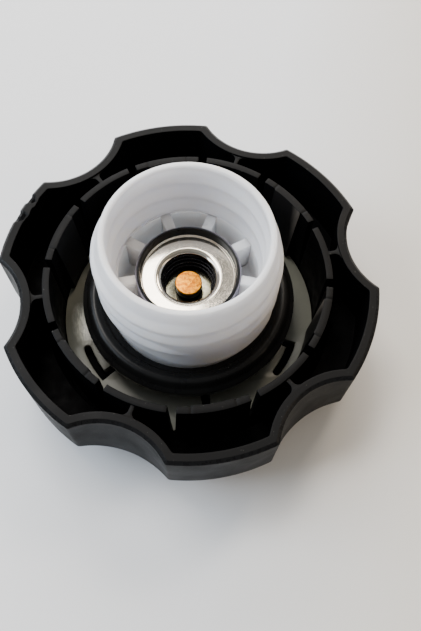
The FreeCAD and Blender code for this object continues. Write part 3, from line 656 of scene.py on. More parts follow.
# %% Chips in the rim
DENTS = [(142.0, 1.75, 54.9, 1.5, 0.75), (149.2, 2.1, 54.4, 1.35, 0.65)]
PUSHED = [(143.4, 2.6), (148.0, 3.2)]
PUSH = 0.42
RAGGED = 900
FADE_BELOW = 2.0
torn = set()
for vertex in shell.vertices:
    r = math.hypot(vertex.co.x, vertex.co.y) / MM
    if r < KNOB_R - WALL - 0.1 or vertex.co.z / MM < RIM_Z - FADE_BELOW:
        continue
    angle = math.degrees(math.atan2(vertex.co.y, vertex.co.x)) % 360
    outward = Vector((math.cos(math.radians(angle)), math.sin(math.radians(angle)), 0))
    rough = noise.noise(vertex.co * RAGGED)
    for middle, half, centre, reach, depth in DENTS:
        across = math.radians(angle - middle) * KNOB_R / half
        inward = max(0, (centre - r) / reach)
        part = 1 - across * across - inward * inward + 0.45 * rough
        if part > 0:
            sink = min(1, part * 2.6) * depth * (1 + 0.5 * rough)
            above = (vertex.co.z / MM - RIM_Z + FADE_BELOW) / FADE_BELOW
            vertex.co.z -= sink * above * MM
            if r > KNOB_R - RIM_BEVEL - 0.1:
                vertex.co -= outward * (0.45 * sink * above * MM)
            if sink > 0.3:
                torn.add(vertex.index)
    for middle, half in PUSHED:
        part = 1 - abs(angle - middle) / half
        if part > 0 and r < KNOB_R - WALL + 0.35 and vertex.co.z / MM > RIM_Z - 0.6:
            vertex.co -= outward * (PUSH * math.sin(part * math.pi / 2) * (1 + 0.8 * rough) * MM)
# Faces torn deep into the dents get painted shade.
for face in shell.polygons:
    if face.material_index == GRAINED and sum(index in torn for index in face.vertices) > 2:
        face.material_index = PAINTED_SHADE
piece(shell, "knob", black_moulding, ["grip_cover"])
print("torn points", len(torn))

# %% [markdown]
# Inside the skirt stands a ring wall cut by twelve slits that widen upward. Between the slits
# stand wall pieces. Each is skinned over stations, sections that stand at given angles; the
# angle of an end station changes with the height, so the end leans. The same skin, over only two
# loops, also makes upright prisms and the wedges of the ratchet.

# %% Skinned solids


def skinned(name, loops):
    """A closed solid over loops of points, each loop with as many points as the next."""
    shape = bmesh.new()
    rows = [[shape.verts.new([v * MM for v in point]) for point in loop] for loop in loops]
    for first, second in zip(rows, rows[1:]):
        for index in range(len(first)):
            after = (index + 1) % len(first)
            shape.faces.new((first[index], second[index], second[after], first[after]))
    shape.faces.new(rows[0])
    shape.faces.new(rows[-1][::-1])
    bmesh.ops.remove_doubles(shape, verts=shape.verts, dist=1e-6)
    bmesh.ops.dissolve_degenerate(shape, edges=shape.edges, dist=1e-7)
    return to_mesh(name, shape)


def arc_solid(name, stations):
    """Skins stations; each is an angle, as a function of height, and a section."""
    loops = []
    for lean, section in stations:
        turned = [(r, z, math.radians(lean(z))) for r, z in section]
        loops.append([(r * math.cos(angle), r * math.sin(angle), z) for r, z, angle in turned])
    return skinned(name, loops)


def spread(left, right, section, steps):
    """Stations of one section, evenly spread between two leaning angles."""
    parts = [step / steps for step in range(steps + 1)]
    return [(lambda z, part=part: left(z) * (1 - part) + right(z) * part, section) for part in parts]


def prism(name, outline, low, high):
    """An upright solid over a flat outline of (x, y) points."""
    return skinned(name, [[(x, y, z) for x, y in outline] for z in (low, high)])


def wedge(name, inner, outer, profile):
    """A bar between two radii over a profile of (y, z) points."""
    return skinned(name, [[(x, y, z) for y, z in profile] for x in (inner, outer)])


print("skinned solids: stations, prisms and wedges")

# %% [markdown]
# A mesh line with no length gives points on the axis; an instance on each, turned by its number, repeats
# one copy around the axis. The wall's top is grained; its sides get the darker black, painted shade, and
# the hooks' leaning faces their own copy, painted light at the right.

# %% Copies around the axis
LOOKS_UP = 0.3
LEANS_FROM, LEANS_TO = 0.05, 0.12


def painted_light_and_shade(mesh):
    """Grained black on faces that look up, painted light on leaning faces at the right, painted shade on
    the rest.
    """
    wear(mesh, black_moulding, deep_black, rubbed_black)
    for face in mesh.polygons:
        lean = face.normal.z
        face.material_index = 0 if lean > LOOKS_UP else 2 if LEANS_FROM < lean < LEANS_TO else 1
    return mesh


copies, given = shape_tree("copies_around", ["Count", "First Angle"], whole=["Count"])
stand = add(copies, "GeometryNodeMeshLine", {"Count": given["Count"], "Offset": (0, 0, 0)}).outputs[0]
number = Term(copies, add(copies, "GeometryNodeInputIndex").outputs[0])
angle = number * (2 * math.pi) / given["Count"] + given["First Angle"]
wires = {"Points": stand, "Instance": given["Geometry"], "Rotation": joined(copies, 0, 0, angle)}
end_tree(copies, given, add(copies, "GeometryNodeInstanceOnPoints", wires).outputs[0])


def around(mesh, count, first, finish, bevel):
    """The mesh with its edges rounded, repeated around the axis from a first angle."""
    repeated = grown(copies, count=count, first_angle=math.radians(first), finish=finish)
    return with_modifiers(mesh, bevelled(bevel), repeated)


# %% [markdown]
# The slit's half width grows from a quarter of a millimetre at its foot to over one at the top.
# The stretch below each lobe carries a hook, which leans inward so that the plate can be pushed
# past it and is then held. Fine grooves cross the wall's top where the hook begins and ends.

# %% Ring wall and hooks
RING_IN = 40.3
RING_OUT = 42.3
RING_MIDDLE = (RING_IN + RING_OUT) / 2
SLIT = 15.8
SLIT_FOOT_Z = 4.5
SLIT_FOOT_HALF = 0.25
SLIT_GROWTH = 1.05
HOOK_HALF = 8.3
HOOK_STEP = 0.35
HOOK_REACH = 2.0
HOOK_UNDERSIDE = plate_low[2] + 4.2
HOOK_TIP_Z = HOOK_UNDERSIDE + 2.5
GROOVE_HALF = 0.36
GROOVE_DEPTH = 0.14
LOBE_STEP = 360 / LOBES


def slit_half(z):
    """Half the slit's width at a height, as an angle."""
    part = max(0, (z - SLIT_FOOT_Z) / (RIM_Z - SLIT_FOOT_Z))
    return math.degrees((SLIT_FOOT_HALF + SLIT_GROWTH * part) / RING_MIDDLE)


def wall_section(reach, step, drop):
    """The wall with its inner face brought inward by a reach at the hook's tip and a step on top."""
    inner = [(RING_IN, SLIT_FOOT_Z), (RING_IN, HOOK_UNDERSIDE), (RING_IN - reach, HOOK_UNDERSIDE)]
    inner += [(RING_IN - reach, HOOK_TIP_Z), (RING_IN - step, RIM_Z - drop)]
    return inner + [(RING_OUT, RIM_Z - drop), (RING_OUT, SLIT_FOOT_Z)]


plain = wall_section(0, 0, 0)
groove = wall_section(0, 0, GROOVE_DEPTH)
hooked = wall_section(HOOK_REACH, HOOK_STEP, 0)
near = HOOK_HALF + GROOVE_HALF
bare = LOBE_STEP / 2 - SLIT
at_hook = spread(lambda z: slit_half(z) - SLIT, lambda z: -near - GROOVE_HALF, plain, 5)
at_hook += [(lambda z: -near, groove), (lambda z: -HOOK_HALF, plain)]
at_hook += spread(lambda z: -HOOK_HALF, lambda z: HOOK_HALF, hooked, 14)
at_hook += [(lambda z: HOOK_HALF, plain), (lambda z: near, groove)]
at_hook += spread(lambda z: near + GROOVE_HALF, lambda z: SLIT - slit_half(z), plain, 5)
at_rib = spread(lambda z: slit_half(z) - bare, lambda z: bare - slit_half(z), plain, 18)
# The wall pieces' sides get painted shade, and the hooks' leaning faces painted light at the right.
for name, stations, first in (("wall_with_hook", at_hook, 30), ("wall_at_rib", at_rib, 0)):
    mesh = around(arc_solid(name, stations), LOBES, first, black_moulding, 0.12)
    piece(painted_light_and_shade(mesh), "knob", black_moulding)
# The wall's foot gets the darker black, painted shade.
foot = band("wall_foot", RING_IN, RING_OUT, FLOOR_Z - 0.2, SLIT_FOOT_Z, high_round=0.1)
piece(foot, "knob", deep_black)

# %% [markdown]
# Thin ribs tie the wall to the skirt behind each scallop and flare where they meet it.

# %% Ribs behind the scallops
RIB_HALF = 0.6
RIB_DROP = 0.6
RIB_BITE = 0.7
FLARE = 1.7
meet = SCALLOP_CENTRE - SCALLOP_R - WALL
flare = []
for step in range(9):
    part = math.radians(90 * step / 8)
    flare.append((meet - FLARE + FLARE * math.sin(part), RIB_HALF + FLARE - FLARE * math.cos(part)))
half_rib = [(RING_MIDDLE, RIB_HALF), *flare, (meet + RIB_BITE, RIB_HALF + FLARE)]
rib_outline = half_rib + [(x, -y) for x, y in reversed(half_rib)]
rib = around(prism("ribs", rib_outline, FLOOR_Z, RIM_Z - RIB_DROP), LOBES, 0, black_moulding, 0.1)
# The ribs' sides get the darker black, painted shade.
piece(painted_light_and_shade(rib), "knob", black_moulding)

# %% [markdown]
# On the bowl's floor stand the saw teeth of the ratchet: steep on one side, sloped on the other.
# They reach a little into the floor, so no gap shows under them.

# %% Ratchet teeth
TEETH = 36
TOOTH_IN, TOOTH_OUT, TOOTH_LENGTH, TOOTH_RISE = 29.3, 33.8, 4.6, 1.2
TOOTH_FIRST = -31.5
OVERLAP = 0.1
tooth_profile = [(0, FLOOR_Z - OVERLAP), (TOOTH_LENGTH, FLOOR_Z - OVERLAP), (0, FLOOR_Z + TOOTH_RISE)]
tooth = wedge("ratchet_teeth", TOOTH_IN, TOOTH_OUT, tooth_profile)
# The teeth get the darker black, painted shade.
piece(around(tooth, TEETH, TOOTH_FIRST, deep_black, 0.08), "knob", deep_black)

# %% [markdown]
# The ratchet plate is flat sheet with slots, so it is drawn as a filled curve with holes: the
# curve gives clean slot edges and a small bevel for nothing.

# %% Flat sheet with holes
SHEET_BEVEL = 0.12


def arc_points(radius, first, last, steps=24):
    """Points along an arc about the axis, angles in degrees."""
    angles = [math.radians(first + (last - first) * step / steps) for step in range(steps + 1)]
    return [(radius * math.cos(a), radius * math.sin(a)) for a in angles]


def cut_sheet(name, outlines, low, high):
    """A flat solid from outlines; the second and later ones are holes."""
    curve = bpy.data.curves.new(name, "CURVE")
    curve.dimensions = "2D"
    curve.fill_mode = "BOTH"
    curve.extrude = ((high - low) / 2 - SHEET_BEVEL) * MM
    curve.bevel_depth = SHEET_BEVEL * MM
    curve.bevel_resolution = 1
    curve.offset = -SHEET_BEVEL * MM
    for outline in outlines:
        spline = curve.splines.new("POLY")
        spline.points.add(len(outline) - 1)
        spline.use_cyclic_u = True
        for point, (x, y) in zip(spline.points, outline):
            point.co = (x * MM, y * MM, 0, 1)
    holder = bpy.data.objects.new(name, curve)
    bpy.context.scene.collection.objects.link(holder)
    bpy.context.view_layer.update()
    flat = bpy.data.meshes.new_from_object(holder.evaluated_get(bpy.context.evaluated_depsgraph_get()))
    bpy.data.objects.remove(holder)
    shape = bmesh.new()
    shape.from_mesh(flat)
    bmesh.ops.remove_doubles(shape, verts=shape.verts, dist=1e-6)
    bmesh.ops.translate(shape, verts=shape.verts, vec=(0, 0, (low + high) / 2 * MM))
    return to_mesh(name, shape)


def turned_points(points, angle):
    """Flat points turned about the axis."""
    c, s = math.cos(math.radians(angle)), math.sin(math.radians(angle))
    return [(x * c - y * s, x * s + y * c) for x, y in points]


print("bevel of cut sheet", SHEET_BEVEL)

# %% [markdown]
# Each spring arm is freed by a U-shaped slot that follows two circles and ends round; it points
# against the clock's way seen from above, and its tip has a short radial cut. Plain cuts stand
# between the arms. A land under the plate's edge runs on the bowl's floor, and a boss in the
# middle takes the plug's hub.

# %% Ratchet plate
ARMS = 3
ARM_IN, ARM_OUT, SLOT_IN, SLOT_OUT = 29.6, 33.5, 27.6, 35.9
ARM_TIP, ARM_SWEEP, CUT_HALF = -30.0, 17.5, 2.15
PLAIN_CUT_IN, PLAIN_CUT_HALF, PLAIN_CUT_ANGLE = 28.0, 1.35, 30
BOSS_BORE, BOSS_OUT = 25.15, 27.2
LAND_WIDTH = 2.4
PLATE_TOP = plate_low[2] + 3.7
PLATE_UNDER = PLATE_TOP - 2.0
root, tip, end = ARM_TIP - ARM_SWEEP, ARM_TIP - CUT_HALF, ARM_TIP + CUT_HALF


def slot_end(inner, outer, angle):
    """A half round that closes a slot, from its outer to its inner circle."""
    middle, half = (inner + outer) / 2, (outer - inner) / 2
    cap = [math.radians(180 + 180 * step / 8) for step in range(1, 8)]
    return turned_points([(middle + half * math.cos(a), half * math.sin(a)) for a in cap], angle)[::-1]


slot_outline = arc_points(ARM_OUT, root, tip) + arc_points(ARM_IN, tip, root)
slot_outline += slot_end(SLOT_IN, ARM_IN, root) + arc_points(SLOT_IN, root, end)
slot_outline += arc_points(SLOT_OUT, end, root) + slot_end(ARM_OUT, SLOT_OUT, root)
plain_cut = [(PLAIN_CUT_IN, -PLAIN_CUT_HALF), (SLOT_OUT, -PLAIN_CUT_HALF)]
plain_cut += [(x, -y) for x, y in reversed(plain_cut)]
outlines = [arc_points(PLATE_R, 0, 359, 359), arc_points(BOSS_BORE, 0, 358, 179)]
for number in range(ARMS):
    outlines.append(turned_points(slot_outline, 360 / ARMS * number))
    outlines.append(turned_points(plain_cut, PLAIN_CUT_ANGLE + 360 / ARMS * number))
sheet = cut_sheet("ratchet_plate_sheet", outlines, PLATE_UNDER, PLATE_TOP)
piece(sheet, "closure", rubbed_plate, ["ratchet_plate"])
land_in, land_out = PLATE_R - LAND_WIDTH, PLATE_R - 0.05
land = band("plate_land", land_in, land_out, plate_low[2], PLATE_TOP - 0.3, low_round=0.15)
piece(land, "closure", rubbed_plate)
boss = band("plate_boss", BOSS_BORE, BOSS_OUT, PLATE_UNDER + 0.2, plate_high[2], high_round=0.2)
piece(boss, "closure", rubbed_plate)

# %% [markdown]
# Under each arm's tip sits a pawl, and round marks from the moulding pins stand on the plate.
# Each mark is a thin raised ring, turned on the axis and then moved to its place.

# %% Pawls and pin marks
PAWL_LENGTH, PAWL_DROP, PAWL_MARGIN = 5.0, 1.5, 0.3
pawl_root = PLATE_UNDER + OVERLAP
pawl_profile = [(-PAWL_LENGTH, pawl_root), (0, PLATE_UNDER - PAWL_DROP), (0, pawl_root)]
pawl = wedge("pawls", ARM_IN + PAWL_MARGIN, ARM_OUT - PAWL_MARGIN, pawl_profile)
piece(around(pawl, ARMS, tip, rubbed_plate, 0.08), "closure", rubbed_plate)

PIN_MARKS = [(34.2, -179.2, 1.7), (35.1, 168.5, 1.5)]
MARK_HALF, MARK_HEIGHT, MARK_TURNS = 0.12, 0.06, (0, 0.8, 1.6, 2.4, 3.1, 4.7)
for number, (r, angle, size) in enumerate(PIN_MARKS):
    ring = [(size + MARK_HALF * math.cos(a), PLATE_TOP + MARK_HEIGHT * math.sin(a)) for a in MARK_TURNS]
    mark = lathe(f"pin_mark_{number}", ring, columns=40)
    for vertex in mark.vertices:
        vertex.co.x += r * math.cos(math.radians(angle)) * MM
        vertex.co.y += r * math.sin(math.radians(angle)) * MM
    piece(mark, "closure", rubbed_plate)

# %% [markdown]
# The cup's thread is one soft ridge that climbs to the right. A tree finds, for each point of the
# wall, how far it lies above or below the nearest turn and pushes it out by a rounded bump that
# fades at both ends. On the near side the grooves between the lower turns are filled, level with
# the crests: a leaning patch, with soft edges whose slopes are named below. The inside of the wall
# shows the same wave, weaker, where the plastic shrank.

# %% Tree that raises a thread
FULLNESS = 0.8
SOFT = 0.2
SIDE_SLOPE, TOP_SLOPE, FOOT_SLOPE = 14.0, 600.0, 280.0
names = ["Pitch", "Rise", "Half Width", "Start Height", "Begin", "End", "Fade In", "Fade Out"]
names += ["Patch Left", "Patch Right", "Patch Lean", "Patch Top", "Patch Level"]
names += ["Inner Radius", "Outer Radius", "Low", "High"]
thread, given = shape_tree("thread", names)
x, y, z, radius = here(thread)
turn = y.math("ARCTAN2", x) / (2 * math.pi)
lag = (z - given["Start Height"]) / given["Pitch"] - turn
nearest = lag.math("ROUND")
apart = (lag - nearest).math("ABSOLUTE") * given["Pitch"]
share = (apart / given["Half Width"]).math("MINIMUM", 1.0)
bump = ((share * math.pi).math("COSINE") * 0.5 + 0.5).math("POWER", FULLNESS)
along = turn + nearest
fade_in = (along - given["Begin"]) / given["Fade In"]
fade_out = (given["End"] - along) / given["Fade Out"]
fade = fade_in.math("MINIMUM", fade_out).held().math("SMOOTH_MIN", 1.0, SOFT)
below_top = given["Patch Top"] - z
from_left = turn - given["Patch Left"]
from_right = given["Patch Right"] + below_top * given["Patch Lean"] - turn
inside = from_left.math("MINIMUM", from_right) * SIDE_SLOPE
inside = inside.math("MINIMUM", below_top * TOP_SLOPE)
inside = inside.math("MINIMUM", (z - given["Low"]) * FOOT_SLOPE)
patch = inside.held().math("SMOOTH_MIN", 1.0, SOFT) * given["Patch Level"]
pushed = radius + (bump * fade).math("MAXIMUM", patch) * given["Rise"]
chosen = radius.math("GREATER_THAN", given["Inner Radius"])
chosen = chosen * radius.math("LESS_THAN", given["Outer Radius"])
chosen = chosen * z.math("GREATER_THAN", given["Low"]) * z.math("LESS_THAN", given["High"])
end_at_radius(thread, given, (x, y, z, radius), pushed, chosen)

# %% [markdown]
# The plug is one moulding: hub, flange, cup wall, channel floor and the collar for the valve. Its
# section is cut into fine rows where the thread runs.

# %% Threaded plug
FLANGE_Z = plug_low[2] + 9.0
FLANGE_TOP = FLANGE_Z + 2.5
TUBE_Z = FLANGE_Z + 4.0
TUBE_UNDER = FLANGE_Z + 1.5
CHANNEL_UNDER = FLANGE_Z + 5.8
CHANNEL_Z = FLANGE_Z + 8.0
KNEE_Z = FLANGE_Z + 19.0
CUP_RIB_Z = FLANGE_Z + 19.1
HUB_R, HUB_BORE, TUBE_OUT = 25.0, 22.5, 17.2
ROOT_R, WALL_R = 24.3, 25.4
LIP_OUT, LIP_IN = 23.6, 21.9
CHANNEL_R, COLLAR_OUT, COLLAR_IN, PORT_R = 20.4, 15.5, 14.9, 8.0
PITCH = 6.35
THREAD_START = FLANGE_Z + 15.6
ROW_STEP = 0.32


def fine(points, step, low, high):
    """Cuts the long sides of a closed section between two heights into short rows."""
    result = []
    for index, (r, z) in enumerate(points):
        result.append((r, z))
        next_r, next_z = points[(index + 1) % len(points)]
        if max(z, next_z) < low or min(z, next_z) > high or abs(next_z - z) < 2 * step:
            continue
        rows = int(abs(next_z - z) / step)
        for row in range(1, rows):
            part = row / rows
            result.append((r + (next_r - r) * part, z + (next_z - z) * part))
    return result


plug_section = rounded(
    [
        (HUB_R, plug_low[2], 0.3),
        (HUB_R, FLANGE_Z, 0.1),
        (FLANGE_R, FLANGE_Z, 0.5),
        (FLANGE_R, FLANGE_TOP, 0.5),
        (ROOT_R, FLANGE_TOP, 0.4),
        (ROOT_R, FLANGE_Z + 5.0, 1.0),
        (WALL_R, FLANGE_Z + 12.5, 3.0),
        (WALL_R, CUP_Z - 5.8, 2.0),
        (LIP_OUT, CUP_Z, 0.5),
        (LIP_IN, CUP_Z, 0.8),
        (CHANNEL_R + 0.1, KNEE_Z, 1.5),
        (CHANNEL_R, CHANNEL_Z, 0.8),
        (COLLAR_OUT, CHANNEL_Z, 0.5),
        (COLLAR_OUT, KNEE_Z, 0.3),
        (COLLAR_IN, KNEE_Z, 0.3),
        (COLLAR_IN, TUBE_Z, 0.2),
        (PORT_R, TUBE_Z, 0.2),
        (PORT_R, TUBE_UNDER, 0.2),
        (TUBE_OUT, TUBE_UNDER, 0.3),
        (TUBE_OUT, CHANNEL_UNDER, 0.3),
        (HUB_BORE, CHANNEL_UNDER, 0.5),
        (HUB_BORE, plug_low[2], 0.3),
    ]
)
plug = lathe("threaded_cup", fine(plug_section, ROW_STEP, FLANGE_Z + 6, CUP_Z - 1), columns=240)
outer_thread = dict(pitch=PITCH * MM, rise=1.25 * MM, half_width=2.7 * MM, start_height=THREAD_START * MM)
outer_thread.update(begin=-0.22, end=3.02, fade_in=0.15, fade_out=0.35)
outer_thread.update(patch_left=-0.34, patch_right=-0.16, patch_lean=8.3)
outer_thread.update(patch_top=41.8 * MM, patch_level=1.0)
outer_thread.update(inner_radius=23.75 * MM, outer_radius=26.0 * MM)
outer_thread.update(low=(FLANGE_Z + 8) * MM, high=(CUP_Z - 0.7) * MM)
inner_wave = dict(outer_thread, rise=0.9 * MM, half_width=3.1 * MM, end=3.6, patch_level=0.0)
inner_wave.update(inner_radius=20.4 * MM, outer_radius=22.3 * MM)
inner_wave.update(low=KNEE_Z * MM, high=(CUP_Z - 1.2) * MM)
steps = [grown(thread, finish=milky_plastic, **sizes) for sizes in (outer_thread, inner_wave)]
plug = with_modifiers(plug, *steps)
print("plug", len(plug.vertices), "points")

# %% [markdown]
# Three plastics share the plug: the collar's outside gets the darker copy, painted shade, the channel
# behind the ribs the brighter copy of the ribs, painted light, and all the rest is milky.

# %% Finishes of the plug
wear(plug, milky_plastic, shaded_plastic, bright_ribs)
for face in plug.polygons:
    r = math.hypot(face.center.x, face.center.y) / MM
    z = face.center.z / MM
    on_collar = r < COLLAR_OUT + 0.1 and z > CHANNEL_Z + 0.5
    in_channel = r < CHANNEL_R + 0.3 and CHANNEL_Z - 0.5 < z < CUP_RIB_Z
    face.material_index = 1 if on_collar else 2 if in_channel else 0
piece(plug, "closure", milky_plastic, ["threaded_plug"], crease=60)

# %% [markdown]
# Nine broad ribs stand in the channel between the collar and the wall. One is drawn and copied.

# %% Ribs in the cup
CUP_RIBS, CUP_RIB_FIRST, CUP_RIB_HALF = 9, 20, 1.5
rib_in, rib_out = COLLAR_OUT - 0.1, CHANNEL_R + 0.35
rib_foot = [(rib_in, -CUP_RIB_HALF), (rib_out, -CUP_RIB_HALF)]
rib_foot += [(x, -y) for x, y in reversed(rib_foot)]
cup_rib = prism("cup_ribs", rib_foot, CHANNEL_Z - 0.2, CUP_RIB_Z)
# The ribs get the brighter copy of the milky plastic, painted light.
cup_ribs = around(cup_rib, CUP_RIBS, CUP_RIB_FIRST, bright_ribs, 0.2)
piece(cup_ribs, "closure", bright_ribs)

# %% [markdown]
# The gasket lies on the flange: a flat foot, a thin outer edge, and a rounded bead that the neck
# presses on.

# %% Gasket
GASKET_Z = gasket_low[2]
BEAD_Z = gasket_high[2]
gasket_in = ROOT_R + 0.25
gasket_section = rounded(
    [
        (gasket_in, GASKET_Z, 0.2),
        (GASKET_R, GASKET_Z, 0.3),
        (GASKET_R, GASKET_Z + 2.0, 0.6),
        (GASKET_R - 1.3, GASKET_Z + 3.0, 0.9),
        (30.3, BEAD_Z - 0.5, 1.6),
        (28.6, BEAD_Z + 0.1, 1.6),
        (27.0, BEAD_Z - 1.0, 1.2),
        (26.4, GASKET_Z + 3.0, 0.9),
        (gasket_in, GASKET_Z + 2.6, 0.3),
    ],
    steps=7,
)
gasket = lathe("neck_gasket_ring", gasket_section)
piece(gasket, "closure", soft_rubber, ["neck_gasket"], crease=50)

# %% [markdown]
# The valve sits in the collar. Its housing is a black cup, and on it lies the seal ring, an L in
# section with an upright lip.

# %% Valve housing and seal
HOUSING_R, HOUSING_BORE, HOUSING_PORT = 14.7, 10.4, 7.0
HOUSING_TOP = TUBE_Z + 10.9
HOUSING_FLOOR = TUBE_Z + 2.0
SEAL_R, SEAL_BORE, LIP_INSIDE = 14.85, 11.0, 14.15
SEAL_TOP = HOUSING_TOP + 0.68
housing_section = rounded(
    [
        (HOUSING_PORT, TUBE_Z + 0.02, 0.1),
        (HOUSING_R, TUBE_Z + 0.02, 0.2),
        (HOUSING_R, HOUSING_TOP, 0.2),
        (HOUSING_BORE, HOUSING_TOP, 0.3),
        (HOUSING_BORE, HOUSING_FLOOR, 0.3),
        (HOUSING_PORT, HOUSING_FLOOR, 0.1),
    ]
)
piece(lathe("valve_cup", housing_section), "closure", black_housing, ["valve_housing"])
seal_section = rounded(
    [
        (SEAL_BORE, HOUSING_TOP, 0.1),
        (SEAL_R, HOUSING_TOP, 0.1),
        (SEAL_R, HOUSING_TOP + 4.9, 0.3),
        (LIP_INSIDE, HOUSING_TOP + 4.7, 0.35),
        (LIP_INSIDE, SEAL_TOP, 0.1),
        (SEAL_BORE, SEAL_TOP, 0.1),
    ]
)
piece(lathe("lip_seal", seal_section), "closure", soft_rubber, ["valve_seal"])

# %% [markdown]
# The pressed disc closes the housing and holds the spring. Its hole has a rolled edge and its rim a bead,
# the two bright circles of the picture. Down in the hole the sheet gets the dark wire finish: painted
# shade.

# %% Pressed disc
DISC_Z = disc_low[2]
DISC_TOP = DISC_Z + 0.6
BEAD_TOP = disc_high[2] - 0.3
DISC_R = 14.08
disc_section = rounded(
    [
        (8.05, DISC_Z - 1.0, 0.08),
        (8.35, DISC_Z - 1.0, 0.08),
        (8.75, DISC_Z, 0.2),
        (13.2, DISC_Z, 0.2),
        (DISC_R, DISC_Z + 0.4, 0.3),
        (DISC_R, BEAD_TOP, 0.2),
        (13.8, BEAD_TOP, 0.16),
        (13.55, DISC_TOP - 0.06, 0.12),
        (9.95, DISC_TOP + 0.03, 0.1),
        (9.85, DISC_TOP - 0.06, 0.05),
        (9.05, DISC_TOP - 0.06, 2.2),
        (8.15, DISC_TOP - 0.65, 0.25),
    ],
    steps=7,
)
disc = lathe("pressed_disc", disc_section)
wear(disc, pressed_steel, spring_wire)
# Faces low in the hole get the dark wire finish, painted shade.
for face in disc.polygons:
    in_hole = math.hypot(face.center.x, face.center.y) / MM < 8.8
    face.material_index = 1 if in_hole and face.center.z / MM < DISC_TOP - 0.8 else 0
piece(disc, "closure", pressed_steel, ["spring_retainer"], crease=60)

# %% [markdown]
# Both springs are wire on a helix. A tree draws a spiral, thickens it with a round section and closes its
# ends.

# %% Springs
names = ["Turns", "Foot Radius", "Head Radius", "Height", "Wire Radius", "Foot"]
coils, given = shape_tree("coil_spring", names)
wires = {"Resolution": 48, "Rotations": given["Turns"], "Height": given["Height"]}
wires.update({"Start Radius": given["Foot Radius"], "End Radius": given["Head Radius"]})
spiral = add(coils, "GeometryNodeCurveSpiral", wires).outputs[0]
wires = {"Resolution": 14, "Radius": given["Wire Radius"]}
wire = add(coils, "GeometryNodeCurvePrimitiveCircle", wires).outputs[0]
wires = {"Curve": spiral, "Profile Curve": wire, "Fill Caps": True}
swept = add(coils, "GeometryNodeCurveToMesh", wires).outputs[0]
wires = {"Geometry": swept, "Translation": joined(coils, 0, 0, given["Foot"])}
end_tree(coils, given, add(coils, "GeometryNodeTransform", wires).outputs[0])


def spring(name, solid, body, joint, fixed, travel, wire_radius, turns, foot_radius, head_radius):
    """A coil as high as its solid; its joint, fixed end and travel are not used."""
    low, high = extent(solid)
    rise = high[2] - low[2] - 2 * wire_radius
    sizes = dict(turns=turns, foot_radius=foot_radius * MM, head_radius=head_radius * MM)
    sizes.update(height=rise * MM, wire_radius=wire_radius * MM, foot=(low[2] + wire_radius) * MM)
    mesh = with_modifiers(bpy.data.meshes.new(name), grown(coils, finish=spring_wire, **sizes))
    coil = piece(mesh, body, spring_wire, [solid])
    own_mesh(coil)


vacuum_wire = dict(wire_radius=0.36, turns=5.0, foot_radius=7.0, head_radius=9.2)
spring("vacuum_coil", "vacuum_spring", "closure", "vacuum_lift", "head", 2.5, **vacuum_wire)
pressure_wire = dict(wire_radius=0.25, turns=3.0, foot_radius=2.4, head_radius=2.4)
spring("pressure_coil", "pressure_spring", "vacuum_valve", "pressure_drop", "foot", 1.5, **pressure_wire)

# %% [markdown]
# In the middle a black head on a stem carries the copper button; the zinc plate below it closes the
# valve, its colour kept dark as painted shade of the deep hole.

# %% Valve plate, stem and button
VALVE_PLATE_R, POCKET_R, POCKET_DEPTH, STEM_HOLE = 10.0, 4.08, 0.9, 1.8
FOOT_RIVET_R, STEM_R, HEAD_R, HEAD_HOLLOW, HEAD_HEIGHT = 2.3, 1.5, 3.9, 3.3, 2.55
BUTTON_R = 4.0
valve_low, valve_high = [corner[2] for corner in extent("vacuum_plate")]
stem_low, stem_high = [corner[2] for corner in extent("pressure_stem")]
button_low, button_high = [corner[2] for corner in extent("copper_cap")]
valve_plate = rounded(
    [
        (STEM_HOLE, valve_low, 0.1),
        (VALVE_PLATE_R, valve_low, 0.2),
        (VALVE_PLATE_R, valve_high, 0.4),
        (POCKET_R, valve_high, 0.1),
        (POCKET_R, valve_high - POCKET_DEPTH, 0.1),
        (STEM_HOLE, valve_high - POCKET_DEPTH, 0.1),
    ]
)
piece(lathe("valve_plate", valve_plate), "vacuum_valve", dull_zinc, ["vacuum_plate"])
stem_section = rounded(
    [
        (0, stem_low, 0),
        (FOOT_RIVET_R, stem_low, 0.2),
        (FOOT_RIVET_R, stem_low + 0.6, 0.1),
        (STEM_R, stem_low + 0.6, 0.1),
        (STEM_R, stem_high - 0.6, 0.1),
        (HEAD_HOLLOW, stem_high - 0.6, 0.1),
        (HEAD_HOLLOW, stem_high - HEAD_HEIGHT, 0.1),
        (HEAD_R, stem_high - HEAD_HEIGHT, 0.1),
        (HEAD_R, stem_high, 0.15),
        (0, stem_high, 0),
    ],
    closed=False,
)
stem = lathe("stem_and_head", stem_section, 96, closed=False)
piece(stem, "pressure_valve", black_housing, ["pressure_stem"])
button_foot = [(0, button_low, 0), (BUTTON_R, button_low, 0.1)]
button_section = rounded(button_foot + [(BUTTON_R, button_high, 0.22), (0, button_high, 0)], closed=False)
button = lathe("copper_button", button_section, 96, closed=False)
piece(button, "pressure_valve", mottled_copper, ["copper_cap"])

# %% [markdown]
# The three pieces that nothing shows keep their packed shape and only get their finish.

# %% Finishes of the hidden pieces
hidden = {"vacuum_seal": soft_rubber, "poppet_seal": soft_rubber, "poppet_disc": pressed_steel}
for node, finish_of_node in hidden.items():
    wear(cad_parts[node].data, finish_of_node)
    print(node, "keeps its packed shape with", finish_of_node.name)

# %% [markdown]
# The table is one plain pale sheet, faintly cloudy like paper. Towards the right front its colour turns
# warmer and darker: painted warm light and shade.

